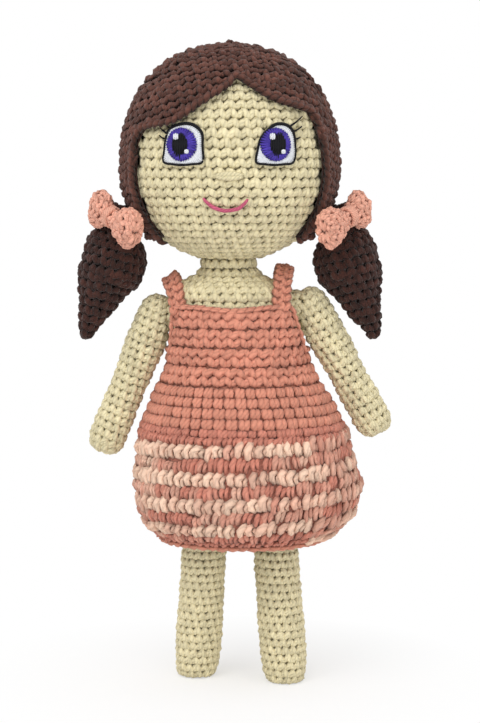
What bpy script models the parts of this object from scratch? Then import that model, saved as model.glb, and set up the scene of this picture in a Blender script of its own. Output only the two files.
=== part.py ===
"""A crocheted doll with a round head, two bunches with bows and a sleeveless dress.

Metres, +Z up. The doll looks along -Y and its right arm is on the -X side of the
picture, so left and right here are the viewer's. The floor is at z = 0.
"""

import math

import bpy
import numpy as np

for leftover in list(bpy.data.objects):
    bpy.data.objects.remove(leftover, do_unlink=True)

# Crocheted fabric and the room that two touching pieces keep
FABRIC = 0.0026
GAP = 0.0003
CAP_GAP = 0.0006
SOCKET_GAP = 0.0005

# Legs: a tube with a flat sole, hinged at the hip; they set how high everything stands
LEG_RADIUS = 0.0110
HIP_Z = 0.0780
LEFT_HIP_X = -0.0132
RIGHT_HIP_X = 0.0214
# Where each foot stands from its hip, to the side and to the back
LEFT_STEP = (-0.0049, 0.0050)
RIGHT_STEP = (0.0055, -0.0070)
LEG_OPENING_ANGLE = 28
# Height as a share of the hip's height, radius as a share of the leg's
LEG_SHARES = (
    (0.81, 0.99), (0.55, 1.00), (0.33, 1.035), (0.18, 1.02), (0.10, 0.97), (0.055, 0.93),
    (0.020, 0.85), (0.0, 0.74),
)

# Torso: level hoops from the neck to the seat, beside the origin, which is in the
# middle under the whole doll
MIDDLE_X = 0.0031
NECK_RADIUS = 0.0137
SEAT_LIFT = 0.0015
TORSO_BASE_Z = HIP_Z + SEAT_LIFT
TORSO_HEIGHT = 0.1330
TORSO_TOP_Z = TORSO_BASE_Z + TORSO_HEIGHT
TORSO_HALF_WIDTH = 0.0345
TORSO_HALF_DEPTH = 0.0265
TORSO_DRIFT = 0.0045
# Height, half width, half depth and drift to the side, each as a share
TORSO_SHARES = (
    (0.974, 0.400, 0.515, -1.04), (0.950, 0.452, 0.577, -1.00), (0.930, 0.565, 0.660, -1.00),
    (0.913, 0.716, 0.724, -0.98), (0.895, 0.842, 0.781, -0.90), (0.866, 0.910, 0.834, -0.78),
    (0.816, 0.912, 0.876, -0.54), (0.718, 0.912, 0.915, -0.14), (0.605, 0.922, 0.950, 0.00),
    (0.455, 0.968, 0.980, 0.27), (0.305, 1.000, 1.000, 0.49), (0.154, 0.971, 0.980, 0.53),
    (0.079, 0.870, 0.905, 0.49), (0.034, 0.700, 0.760, 0.40), (0.008, 0.420, 0.470, 0.30),
)
TORSO_INNER_STEPS = (0, 2, 4, 6, 8, 10, 12, 13)
# Half width and half depth at the chest
CHEST_SHARES = (0.912, 0.920)

# Head: a ball that is flatter below, standing on the neck and turned about its upright axis
HEAD_X = MIDDLE_X - 0.0040
HEAD_HALF_WIDTH = 0.0512
HEAD_HALF_DEPTH = 0.0486
HEAD_RISE = 0.0583
HEAD_DROP = 0.0453
HEAD_Z = TORSO_TOP_Z + GAP + HEAD_DROP * math.sqrt(1 - (NECK_RADIUS / HEAD_HALF_WIDTH) ** 2)
HEAD_OPENING = 0.0080
CROWN_POWER = 2.25
HEAD_COLUMNS = 30
HEAD_ROWS = 15

# Hair: a cap that leaves a face window
CAP_THICK = 0.0030
# How far from the head's middle plane, towards the back, the face window is cut
FACE_WINDOW_BACK = 0.0120
# The window's edge on the cap: azimuth from the front in degrees, and height as a share
# of the cap's rise or drop
HAIRLINE_SHARES = (
    (-61.0, -0.76), (-60.7, -0.64), (-60.2, -0.45), (-59.9, -0.26), (-60.0, -0.09), (-59.4, 0.12),
    (-57.6, 0.24), (-53.2, 0.31), (-46.0, 0.33), (-38.3, 0.34), (-32.0, 0.36), (-25.2, 0.41),
    (-16.6, 0.50), (-10.0, 0.56), (-4.0, 0.61), (1.0, 0.67), (5.0, 0.71), (9.0, 0.68), (17.6, 0.60),
    (24.0, 0.55), (31.0, 0.51), (41.0, 0.48), (49.5, 0.45), (53.6, 0.38), (56.4, 0.27), (58.2, 0.14),
    (59.4, -0.04), (60.0, -0.22), (60.5, -0.42), (61.0, -0.62), (61.3, -0.76),
)
NAPE_SHARE = -0.68
KNOT_RADIUS = 0.0021
KNOT_HEIGHT = 0.0016

# Bunches: a pointed bag each, hinged where it is sewn to the cap
BUNCH_ROOT_BACK = 0.0020
BUNCH_ROOT_DROP = 0.0215
BUNCH_ROOT_RADIUS = 0.0056
# From a bunch's root to its tip: outward, backward and upward
BUNCH_REACH = (0.0150, -0.0030, -0.0585)
BUNCH_RADIUS = 0.0164
# How far the bag hangs inward of the straight line from its root to its tip
BUNCH_SWAY = 0.0031
# A place along the bunch, its radius and its sway there
BUNCH_STATION_SHARES = (
    (0.06, 0.44, 0.20), (0.16, 0.70, 0.62), (0.27, 0.93, 1.05), (0.38, 1.01, 1.25), (0.50, 1.01, 1.15),
    (0.60, 0.88, 0.80), (0.70, 0.71, 0.48), (0.80, 0.56, 0.22), (0.90, 0.43, 0.05), (0.97, 0.30, -0.20),
)

# Bows: a strip drawn in at the waist by a band
# From a bunch's root to the bow's waist: outward, backward and upward
BOW_REACH = (0.0020, -0.0190, -0.0015)
BOW_LOBE_LENGTH = 0.0210
BOW_HEIGHT = 0.0190
BOW_THICK = 0.0110
BOW_WAIST_RADIUS = 0.0034
BOW_AXIS_SHARES = (0.58, -0.74, -0.34)
# The outer lobe is shorter than the inner one
BOW_OUTER_SHARE = 0.68
BOW_STATION_SHARES = (
    (0.16, 0.00), (0.38, 0.52), (0.62, 0.96), (0.82, 1.00), (0.95, 0.84),
)
BAND_RADIUS = 0.0013
BAND_WIDTH = 0.0052

# Arms: a tube with a round hand, hinged at the shoulder and cut flat where it is sewn on
ARM_RADIUS = 0.0097
ARM_SEAT = 0.0049
# How far above and below the hinge the swinging root reaches, in arm radii
ARM_ROOT_SHARE = 1.5
LEFT_SHOULDER_DROP = 0.0270
RIGHT_SHOULDER_DROP = 0.0235
# From the shoulder to the hand: outward, backward and upward
LEFT_ARM_REACH = (0.0250, 0.0, -0.0615)
RIGHT_ARM_REACH = (0.0309, 0.0, -0.0560)
ARM_TUBE_SHARES = ((0.0, 1.0), (0.24, 1.05), (0.46, 0.98), (0.64, 0.93), (0.82, 0.98), (1.0, 0.98))

# Dress: one wall from the neckline to the hem, split where the yarn changes; it is
# close round the chest and flares over the seat
DRESS_WALL = 0.0028
DRESS_EASE = 0.0007
BODICE_HALF_WIDTH = TORSO_HALF_WIDTH * CHEST_SHARES[0] + DRESS_EASE + DRESS_WALL
BODICE_HALF_DEPTH = TORSO_HALF_DEPTH * CHEST_SHARES[1] + DRESS_EASE + DRESS_WALL
SKIRT_FLARE = 0.0222
SKIRT_FLARE_DEEP = 0.0213
DRESS_TOP_DROP = 0.0205
DRESS_TOP_Z = TORSO_TOP_Z - DRESS_TOP_DROP
HEM_DROP = 0.0065
DRESS_HEM_Z = HIP_Z - HEM_DROP
DRESS_DRIFT = 0.0050
# Height between hem and top, flare and drift to the side, each as a share
DRESS_SHARES = (
    (1.000, 0.010, -0.62), (0.920, 0.005, -0.36), (0.834, 0.010, -0.12), (0.768, 0.030, -0.02),
    (0.718, 0.099, 0.10), (0.668, 0.234, 0.16), (0.618, 0.398, 0.20), (0.568, 0.537, 0.36),
    (0.518, 0.653, 0.40), (0.466, 0.758, 0.46), (0.414, 0.836, 0.56), (0.338, 0.905, 0.76),
    (0.288, 0.970, 0.84), (0.237, 1.000, 0.94), (0.187, 0.966, 1.00), (0.136, 0.909, 0.92),
    (0.085, 0.775, 0.84), (0.060, 0.655, 0.76), (0.034, 0.505, 0.66), (0.014, 0.335, 0.50),
    (0.000, 0.190, 0.42),
)
SKIRT_HEIGHT = 0.0603
BODICE_END_Z = DRESS_HEM_Z + SKIRT_HEIGHT
NECKLINE_DROP = 0.0035
NECKLINE_Z = DRESS_TOP_Z - NECKLINE_DROP
UNDERARM_DROP = 0.0205
HEM_BAND = 0.0034
DRESS_COLUMNS = 36
# Azimuth from the front in degrees, and how far the edge has dropped to the underarm
ARMHOLE_SHARES = (
    (0, 0.0), (28, -0.08), (56, -0.08), (72, 1.0), (108, 1.0), (124, -0.08), (152, -0.08), (180, 0.0),
)

# Straps: a band over each shoulder
STRAP_WIDTH = 0.0086
STRAP_THICK = 0.0026
LEFT_STRAP_AZIMUTH = 52
RIGHT_STRAP_AZIMUTH = 44
# How far the strap leans with the shoulder's slope, as rise over run
STRAP_LEAN_SHARE = 0.45
# A strap's highest point from the chest's side and from the neckline: outward and upward
LEFT_STRAP_REACH = (0.0023, 0.0144)
RIGHT_STRAP_REACH = (-0.0081, 0.0193)

# Face: threads that lie on the head
THREAD = 0.0007
EYE_WIDTH = 0.0204
EYE_HEIGHT = 0.0196
EYE_RISE = 0.0114
EYE_OUT = 0.0219
EYE_OUTLINE_WIDTH = 0.0011
WHITE_LEAST = 0.0004
EYE_RAYS = 20
IRIS_WIDTH = 0.0148
IRIS_HEIGHT = 0.0152
PUPIL_WIDTH = 0.0082
PUPIL_HEIGHT = 0.0086
GLINT_RADIUS = 0.0013
GLINT_THICK = 0.0004
LASH_RADIUS = 0.00035
LASH_LENGTH = 0.0064
NOSE_LENGTH = 0.0120
NOSE_RADIUS = 0.0018
NOSE_DROP = 0.0032
MOUTH_RADIUS = 0.0010
MOUTH_WIDTH = 0.0205
MOUTH_DIP = 0.0050
MOUTH_DROP = 0.0140
MOUTH_SHIFT = -0.0018
# The eye's border from its middle, for the right-hand eye of the picture
RIGHT_EYE_BORDER_SHARES = (
    (-0.50, -0.43), (-0.46, -0.12), (-0.38, 0.16), (-0.19, 0.38), (0.01, 0.50), (0.28, 0.47),
    (0.45, 0.29), (0.50, -0.02), (0.50, -0.27), (0.42, -0.45), (0.20, -0.48), (-0.05, -0.50),
    (-0.30, -0.48),
)
LEFT_EYE_BORDER_SHARES = (
    (-0.50, -0.42), (-0.48, -0.15), (-0.44, 0.12), (-0.33, 0.38), (-0.02, 0.50), (0.27, 0.48),
    (0.48, 0.28), (0.50, -0.05), (0.50, -0.42), (0.25, -0.48), (0.01, -0.50), (-0.25, -0.48),
)
IRIS_CENTRE_SHARES = (-0.02, 0.0)
LEFT_PUPIL_SHARES = (-0.04, -0.01)
RIGHT_PUPIL_SHARES = (0.02, 0.0)
UPPER_GLINT_SHARES = (-0.125, 0.18)
LOWER_GLINT_SHARES = (0.135, -0.17)
# Where a lash starts on the border, the way it points, and its length as a share
RIGHT_LASH_SHARES = (
    ((0.36, 0.44), (0.88, 0.48), 1.35), ((0.47, 0.32), (0.93, 0.36), 0.80),
    ((0.52, 0.14), (0.98, 0.14), 0.42),
)
LEFT_LASH_SHARES = (
    ((-0.36, 0.42), (-0.72, 0.69), 0.50), ((-0.46, 0.30), (-0.88, 0.46), 0.55),
    ((-0.52, 0.16), (-0.93, 0.36), 0.36),
)


def unit(vector):
    """The vector at length one."""
    vector = np.asarray(vector, float)
    return vector / np.linalg.norm(vector)


def closed_volume(points, faces):
    """Six times the volume inside the faces."""
    total = 0.0
    for face in faces:
        first = points[face[0]]
        for second, third in zip(face[1:-1], face[2:]):
            total += np.dot(first, np.cross(points[second], points[third]))
    return total


def loft(hoops, start=None, end=None, looped=False):
    """A closed surface through the hoops, with a middle point or a flat cap at each end."""
    points = [np.asarray(p, float) for hoop in hoops for p in hoop]
    sides = len(hoops[0])
    faces = []
    rows = len(hoops)
    for row in range(rows if looped else rows - 1):
        here, there = row * sides, (row + 1) % rows * sides
        for side in range(sides):
            after = (side + 1) % sides
            faces.append((here + side, here + after, there + after, there + side))
    for middle, first in (() if looped else ((start, 0), (end, (rows - 1) * sides))):
        ring = list(range(first, first + sides))
        if first:
            ring.reverse()
        if middle is None:
            faces.append(tuple(reversed(ring)))
            continue
        points.append(np.asarray(middle, float))
        for side in range(sides):
            faces.append((len(points) - 1, ring[(side + 1) % sides], ring[side]))
    points = np.array(points)
    if closed_volume(points, faces) < 0:
        faces = [tuple(reversed(face)) for face in faces]
    return points, faces


def finish(name, colour, roughness):
    """A plain material with its own Principled shader."""
    material = bpy.data.materials.new(name)
    material.use_nodes = True
    shader = material.node_tree.nodes["Principled BSDF"]
    shader.inputs["Base Color"].default_value = (*colour, 1.0)
    shader.inputs["Roughness"].default_value = roughness
    return material


def hinge_point(name, place):
    """An empty on a joint's axis, which carries that joint's pieces."""
    empty = bpy.data.objects.new(name, None)
    empty.location = place
    bpy.context.scene.collection.objects.link(empty)
    return empty


def solid(name, shape, material, carrier=None):
    """An object from a lofted shape, shaded smooth and held by its carrier."""
    points, faces = shape
    mesh = bpy.data.meshes.new(name)
    mesh.from_pydata([tuple(p) for p in points], [], faces)
    mesh.polygons.foreach_set("use_smooth", [True] * len(mesh.polygons))
    mesh.materials.append(material)
    made = bpy.data.objects.new(name, mesh)
    bpy.context.scene.collection.objects.link(made)
    if carrier is not None:
        bpy.context.view_layer.update()
        made.parent = carrier
        made.matrix_parent_inverse = carrier.matrix_world.inverted()
    return made


def cutter(name, shape):
    """A hidden helper that Booleans take away."""
    made = solid(name, shape, MATERIALS["thread"])
    made.hide_render = True
    made.display_type = "WIRE"
    return made


def cut(target, tool):
    """Takes the tool away from the target."""
    boolean = target.modifiers.new("cut " + tool.name, "BOOLEAN")
    boolean.operation = "DIFFERENCE"
    boolean.solver = "EXACT"
    boolean.object = tool


def smooth_through(values, count):
    """Points of a curve through the values, with count steps on each span."""
    values = [np.asarray(v, float) for v in values]
    padded = [2 * values[0] - values[1], *values, 2 * values[-1] - values[-2]]
    found = []
    for a, b, c, d in zip(padded, padded[1:], padded[2:], padded[3:]):
        for step in range(count):
            t = step / count
            found.append(0.5 * (2 * b + (c - a) * t + (2 * a - 5 * b + 4 * c - d) * t**2
                                + (3 * b - a - 3 * c + d) * t**3))
    found.append(values[-1])
    return found


def disc_hoop(centre, across, up, half_across, half_up, sides):
    """Points of an ellipse spanned by two directions."""
    turns = [2 * math.pi * side / sides for side in range(sides)]
    return [centre + across * half_across * math.cos(t) + up * half_up * math.sin(t) for t in turns]


def limb_frame(root, tip):
    """A limb's direction, the two directions square to it, and its length."""
    root, tip = np.asarray(root, float), np.asarray(tip, float)
    along = unit(tip - root)
    across = unit(np.cross((0, 1, 0), along))
    return along, across, np.cross(along, across), np.linalg.norm(tip - root)


# Head


def head_profile(turn, grow):
    """Radius share's radius and height at an angle from the crown, with the ball grown."""
    up, out = math.cos(turn), math.sin(turn)
    if up >= 0:
        power = 2 / CROWN_POWER
        return (HEAD_HALF_WIDTH + grow) * out**power, HEAD_Z + (HEAD_RISE + grow) * up**power
    return (HEAD_HALF_WIDTH + grow) * out, HEAD_Z + (HEAD_DROP + grow) * up


def head_turn_at(height, grow):
    """The angle from the crown at which the grown ball has this height."""
    if height >= HEAD_Z:
        share = min((height - HEAD_Z) / (HEAD_RISE + grow), 1.0)
        return math.acos(share ** (CROWN_POWER / 2))
    return math.acos(max((height - HEAD_Z) / (HEAD_DROP + grow), -1.0))


def head_point(azimuth, turn, grow):
    """A point of the grown ball at an azimuth in degrees from the front."""
    radius, height = head_profile(turn, grow)
    deep = radius * (HEAD_HALF_DEPTH + grow) / (HEAD_HALF_WIDTH + grow)
    angle = math.radians(azimuth)
    return np.array((HEAD_X + radius * math.sin(angle), -deep * math.cos(angle), height))


def on_face(across, height, lift):
    """A point at an arc length from the face's middle line, this far above the head."""
    turn = head_turn_at(height, 0)
    radius = head_profile(turn, 0)[0]
    middle = 0.5 * (radius + radius * HEAD_HALF_DEPTH / HEAD_HALF_WIDTH)
    azimuth = math.degrees(across / middle)
    return head_point(azimuth, head_turn_at(height, lift), lift)


def head_hoops(turns, grow):
    """Level hoops of the grown ball."""
    columns = [360 * step / HEAD_COLUMNS for step in range(HEAD_COLUMNS)]
    return [[head_point(a, turn, grow) for a in columns] for turn in turns]


def head_turns(rows):
    """Angles of the head's hoops, from the crown to the opening below."""
    end = math.pi - math.asin(HEAD_OPENING / HEAD_HALF_WIDTH)
    return [end * step / rows for step in range(1, rows + 1)]


def head_shell():
    """The head's fabric with an opening below, where it is stuffed and sewn to the neck."""
    hoops = head_hoops(head_turns(8), -FABRIC) + head_hoops(reversed(head_turns(HEAD_ROWS)), 0)
    return loft(hoops, head_point(0, 0, -FABRIC), head_point(0, 0, 0))


def head_stuffing():
    """The stuffing that fills the head."""
    grow = -FABRIC - GAP
    return loft(head_hoops(head_turns(8), grow), head_point(0, 0, grow), head_point(0, math.pi, grow))


def face_window():
    """A block whose outline, seen from the front, is the edge of the face window."""
    grow = CAP_GAP + CAP_THICK
    outline = []
    for azimuth, share in HAIRLINE_SHARES:
        height = HEAD_Z + share * ((HEAD_RISE if share > 0 else HEAD_DROP) + grow)
        outline.append(head_point(azimuth, head_turn_at(height, grow), grow))
    front = -2 * HEAD_HALF_DEPTH
    return loft([[(x, y, z) for x, _, z in outline] for y in (front, -FACE_WINDOW_BACK)])


def hair_cap():
    """The cap, down to the nape all round, less the face window."""
    inner, outer = CAP_GAP, CAP_GAP + CAP_THICK
    nape = math.acos(NAPE_SHARE)
    turns = [turn for turn in head_turns(HEAD_ROWS) if turn < nape] + [nape]
    hoops = head_hoops(turns, inner) + head_hoops(reversed(turns), outer)
    cap = solid("hair_cap", loft(hoops, head_point(0, 0, inner), head_point(0, 0, outer)),
                MATERIALS["hair"], HEAD_PIVOT)
    cut(cap, cutter("face_window", face_window()))


def crown_knot():
    """The fastened end of the cap's yarn."""
    base = HEAD_Z + HEAD_RISE + CAP_GAP + CAP_THICK + GAP
    hoops = []
    for share in (0.0, 0.45, 0.85):
        radius = KNOT_RADIUS * math.sqrt(1 - share**2)
        centre = np.array((HEAD_X, 0, base + KNOT_HEIGHT * share))
        hoops.append(disc_hoop(centre, np.array((1, 0, 0)), np.array((0, 1, 0)), radius, radius, 8))
    return loft(hoops, None, (HEAD_X, 0, base + KNOT_HEIGHT))


# Face


def loop_reach(border, middle, angle):
    """How far from the middle the border lies in a direction."""
    way = np.array((math.cos(angle), math.sin(angle)))
    best = 0.0
    for a, b in zip(border, border[1:] + border[:1]):
        side = np.array(b) - np.array(a)
        start = np.array(a) - middle
        under = way[0] * side[1] - way[1] * side[0]
        if abs(under) < 1e-12:
            continue
        reach = (start[0] * side[1] - start[1] * side[0]) / under
        along = (start[0] * way[1] - start[1] * way[0]) / under
        if reach > 0 and -1e-9 <= along <= 1 + 1e-9:
            best = max(best, reach)
    return best


def patch(outer, inner, low, high):
    """A thin layer on the face between two loops, or inside one loop."""
    def raised(loop, lift):
        return [on_face(a, h, lift) for a, h in loop]

    if inner is not None:
        hoops = [raised(outer, low), raised(outer, high), raised(inner, high), raised(inner, low)]
        return loft(hoops, looped=True)
    middle = np.mean(np.array(outer), axis=0)
    return loft([raised(outer, low), raised(outer, high)], on_face(*middle, low), on_face(*middle, high))


def oval(middle, width, height, turns):
    """A loop round a middle, in arc length and height."""
    return [(middle[0] + 0.5 * width * math.cos(t), middle[1] + 0.5 * height * math.sin(t)) for t in turns]


def thread_on_face(places, radii, sides, lift):
    """A thread along places on the face, as thick as its radii say."""
    centres = [on_face(a, h, lift + r) for (a, h), r in zip(places, radii)]
    hoops = []
    for index, (centre, radius) in enumerate(zip(centres, radii)):
        before, after = centres[max(index - 1, 0)], centres[min(index + 1, len(centres) - 1)]
        along = unit(after - before)
        out = unit(on_face(*places[index], lift + radius + GAP) - centre)
        across = unit(np.cross(out, along))
        hoops.append(disc_hoop(centre, across, np.cross(along, across), radius, radius, sides))
    return loft(hoops, centres[0], centres[-1])


def eye(side, mirror, border_shares, pupil_shares, lash_shares):
    """All the threads of one eye, whose rings share their rays from the iris's middle."""
    centre = np.array((mirror * EYE_OUT, HEAD_Z + EYE_RISE))

    def placed(shares):
        return centre + np.array(shares) * (EYE_WIDTH, EYE_HEIGHT)

    border = [tuple(placed(shares)) for shares in border_shares]
    middle = placed(IRIS_CENTRE_SHARES)
    pupil_middle = placed(pupil_shares)
    turns = [2 * math.pi * (step + 0.5) / EYE_RAYS for step in range(EYE_RAYS)]

    def ray_loop(reaches):
        return [(middle[0] + r * math.cos(t), middle[1] + r * math.sin(t)) for r, t in zip(reaches, turns)]

    reaches = [loop_reach(border, middle, t) for t in turns]
    rim = [reach - EYE_OUTLINE_WIDTH for reach in reaches]
    iris = []
    for turn, reach in zip(turns, rim):
        across, up = math.cos(turn) / (0.5 * IRIS_WIDTH), math.sin(turn) / (0.5 * IRIS_HEIGHT)
        iris.append(min(1 / math.hypot(across, up), reach - WHITE_LEAST - 2 * GAP))
    low, high = GAP, GAP + THREAD
    layers = {
        "outline": (ray_loop(reaches), ray_loop(rim), "black"),
        "white": (ray_loop([r - GAP for r in rim]), ray_loop([r + GAP for r in iris]), "white"),
        "iris": (ray_loop(iris),
                 oval(pupil_middle, PUPIL_WIDTH + 2 * GAP, PUPIL_HEIGHT + 2 * GAP, turns), "violet"),
        "pupil": (oval(pupil_middle, PUPIL_WIDTH, PUPIL_HEIGHT, turns), None, "black"),
    }
    for word, (outer, inner, colour) in layers.items():
        solid(f"{side}_eye_{word}", patch(outer, inner, low, high), MATERIALS[colour], HEAD_PIVOT)
    for word, shares, size in (("upper", UPPER_GLINT_SHARES, 1.0), ("lower", LOWER_GLINT_SHARES, 0.66)):
        loop = oval(placed(shares), 2 * GLINT_RADIUS * size, 2 * GLINT_RADIUS * size, turns[::2])
        solid(f"{side}_eye_{word}_glint", patch(loop, None, high + GAP, high + GAP + GLINT_THICK),
              MATERIALS["white"], HEAD_PIVOT)
    for word, (start, way, share) in zip(("upper", "middle", "lower"), lash_shares):
        away = placed(start) - middle
        angle = math.atan2(away[1], away[0])
        reach = loop_reach(border, middle, angle) + GAP + LASH_RADIUS
        place = middle + np.array((math.cos(angle), math.sin(angle))) * reach
        places = [place + unit(way) * LASH_LENGTH * share * step / 3 for step in range(4)]
        radii = [LASH_RADIUS, LASH_RADIUS, 0.8 * LASH_RADIUS, 0.5 * LASH_RADIUS]
        solid(f"{side}_eye_{word}_lash", thread_on_face(places, radii, 6, GAP),
              MATERIALS["black"], HEAD_PIVOT)


def nose():
    """A short stitch of skin yarn, thick in the middle."""
    shares = (-0.5, -0.36, -0.15, 0.15, 0.36, 0.5)
    places = [(NOSE_LENGTH * s, HEAD_Z - NOSE_DROP) for s in shares]
    radii = [NOSE_RADIUS * r for r in (0.35, 0.75, 1.0, 1.0, 0.75, 0.35)]
    return thread_on_face(places, radii, 8, GAP)


def mouth():
    """A smile of one strand."""
    places = []
    for step in range(11):
        share = step / 5 - 1
        places.append((MOUTH_SHIFT + 0.5 * MOUTH_WIDTH * share,
                       HEAD_Z - MOUTH_DROP - MOUTH_DIP * (1 - share**2)))
    radii = [MOUTH_RADIUS * r for r in (0.5, 0.85, 1, 1, 1, 1, 1, 1, 1, 0.85, 0.5)]
    return thread_on_face(places, radii, 8, GAP)


# Bunches and bows


def beside(place, mirror, reach):
    """A place at a reach from another one: outward, backward and upward."""
    out, back, up = reach
    return np.asarray(place, float) + np.array((mirror * out, back, up))


def bunch_root(mirror):
    """The middle of a bunch's round root, which touches the cap."""
    grow = CAP_GAP + CAP_THICK + BUNCH_ROOT_RADIUS
    side = head_point(90 * mirror, head_turn_at(HEAD_Z - BUNCH_ROOT_DROP, grow), grow)
    return beside(side, mirror, (0, BUNCH_ROOT_BACK, 0))


def bunch_hoops(mirror, grow):
    """Hoops of a bunch from its root to its tip."""
    root = bunch_root(mirror)
    tip = beside(root, mirror, BUNCH_REACH)
    along, across, up, length = limb_frame(root, tip)
    hoops = []
    for angle in (30, 62):
        turn = math.radians(angle)
        radius = (BUNCH_ROOT_RADIUS + grow) * math.sin(turn)
        centre = root - along * (BUNCH_ROOT_RADIUS + grow) * math.cos(turn)
        hoops.append(disc_hoop(centre, across, up, radius, radius, 16))
    inward = np.array((-mirror * BUNCH_SWAY, 0, 0))
    for place, width, sway in BUNCH_STATION_SHARES:
        radius = max(BUNCH_RADIUS * width + grow, GAP)
        hoops.append(disc_hoop(root + along * length * place + inward * sway, across, up, radius, radius, 16))
    end = tip + inward * BUNCH_STATION_SHARES[-1][2]
    return hoops, end + along * (BUNCH_RADIUS * BUNCH_STATION_SHARES[-1][1] + grow)


def bunch(side, mirror, carrier):
    """A bunch's fabric, open at the root, and its stuffing."""
    outer, tip = bunch_hoops(mirror, 0)
    inner = bunch_hoops(mirror, -FABRIC)[0][:-2]
    solid(side + "_bunch", loft(inner[::-1] + outer, None, tip), MATERIALS["dark"], carrier)
    core = bunch_hoops(mirror, -FABRIC - GAP)[0][1:-3]
    solid(side + "_bunch_stuffing", loft(core), MATERIALS["stuffing"], carrier)


def bow_frame(mirror):
    """The bow's middle, the way it points and its two other directions."""
    middle = beside(bunch_root(mirror), mirror, BOW_REACH)
    inward, front, down = BOW_AXIS_SHARES
    along = unit((-mirror * inward, front, down))
    height = unit(np.array((0, 0, 1)) - along * along[2])
    return middle, along, height, np.cross(along, height)


def bow(side, mirror, carrier):
    """A strip with two lobes, drawn in at its waist, and the band round it."""
    middle, along, height, across = bow_frame(mirror)
    hoops = []
    inner_places = [s for s, _ in BOW_STATION_SHARES]
    places = [-s * BOW_OUTER_SHARE for s in reversed(inner_places)] + [0] + inner_places
    widths = [w for _, w in reversed(BOW_STATION_SHARES)] + [0] + [w for _, w in BOW_STATION_SHARES]
    for place, width in zip(places, widths):
        tall = BOW_WAIST_RADIUS + (0.5 * BOW_HEIGHT - BOW_WAIST_RADIUS) * width
        thick = BOW_WAIST_RADIUS + (0.5 * BOW_THICK - BOW_WAIST_RADIUS) * width
        centre = middle + along * BOW_LOBE_LENGTH * place
        hoops.append(disc_hoop(centre, height, across, tall, thick, 14))
    ends = [middle + along * BOW_LOBE_LENGTH * s for s in (-BOW_OUTER_SHARE, 1)]
    solid(side + "_bow", loft(hoops, *ends), MATERIALS["salmon"], carrier)
    inside = BOW_WAIST_RADIUS + GAP
    rings = []
    for step in range(6):
        turn = 2 * math.pi * step / 6
        radius = inside + BAND_RADIUS * (1 + math.cos(turn))
        centre = middle + along * 0.5 * BAND_WIDTH * 0.9 * math.sin(turn)
        rings.append(disc_hoop(centre, height, across, radius, radius, 14))
    solid(side + "_bow_band", loft(rings, looped=True), MATERIALS["salmon"], carrier)


# Torso


def torso_hoop(step, grow, sides):
    """One level hoop of the torso."""
    height, wide, deep, drift = TORSO_SHARES[step]
    centre = np.array((MIDDLE_X + TORSO_DRIFT * drift, 0, TORSO_BASE_Z + TORSO_HEIGHT * height))
    return disc_hoop(centre, np.array((1, 0, 0)), np.array((0, 1, 0)),
                     TORSO_HALF_WIDTH * wide + grow, TORSO_HALF_DEPTH * deep + grow, sides)


def neck_top(radius, sides):
    """The neck's upper hoop, just under the head."""
    turn = math.pi - math.asin(radius / HEAD_HALF_WIDTH)
    height = head_profile(turn, 0)[1] - GAP
    centre = np.array((MIDDLE_X + TORSO_DRIFT * TORSO_SHARES[0][3], 0, height))
    return disc_hoop(centre, np.array((1, 0, 0)), np.array((0, 1, 0)), radius, radius, sides)


def torso():
    """The torso's fabric, open at the neck, and the stuffing in it."""
    sides = 28
    seat = MIDDLE_X + TORSO_DRIFT * TORSO_SHARES[-1][3]
    outer = [neck_top(NECK_RADIUS, sides)] + [torso_hoop(s, 0, sides) for s in range(len(TORSO_SHARES))]
    inner = [neck_top(NECK_RADIUS - FABRIC, sides)]
    inner += [torso_hoop(s, -FABRIC, sides) for s in TORSO_INNER_STEPS]
    shape = loft(inner[::-1] + outer, (seat, 0, TORSO_BASE_Z + 1.5 * FABRIC), (seat, 0, TORSO_BASE_Z))
    body = solid("torso", shape, MATERIALS["skin"])
    core = [torso_hoop(s, -FABRIC - GAP, 16) for s in TORSO_INNER_STEPS]
    top = TORSO_BASE_Z + TORSO_HEIGHT * TORSO_SHARES[0][0]
    start = (MIDDLE_X + TORSO_DRIFT * TORSO_SHARES[0][3], 0, top)
    filling = solid("torso_stuffing", loft(core, start, (seat, 0, TORSO_BASE_Z + 2 * FABRIC)),
                    MATERIALS["stuffing"])
    for side, hip in (("left", LEFT_HIP_X), ("right", RIGHT_HIP_X)):
        socket = cutter(side + "_hip_room", ball((hip, 0, HIP_Z), LEG_RADIUS + SOCKET_GAP, 24, 14))
        cut(body, socket)
        cut(filling, socket)


def ball(centre, radius, sides, rows):
    """A closed ball."""
    centre = np.asarray(centre, float)
    hoops = []
    for row in range(1, rows):
        turn = math.pi * row / rows
        middle = centre + np.array((0, 0, radius * math.cos(turn)))
        flat = radius * math.sin(turn)
        hoops.append(disc_hoop(middle, np.array((1, 0, 0)), np.array((0, 1, 0)), flat, flat, sides))
    return loft(hoops, centre + (0, 0, radius), centre - (0, 0, radius))


def box(low, high):
    """A closed box between two corners."""
    corners = [(low[0], low[1]), (high[0], low[1]), (high[0], high[1]), (low[0], high[1])]
    return loft([[(x, y, z) for x, y in corners] for z in (low[2], high[2])])


# Arms and legs


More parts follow.
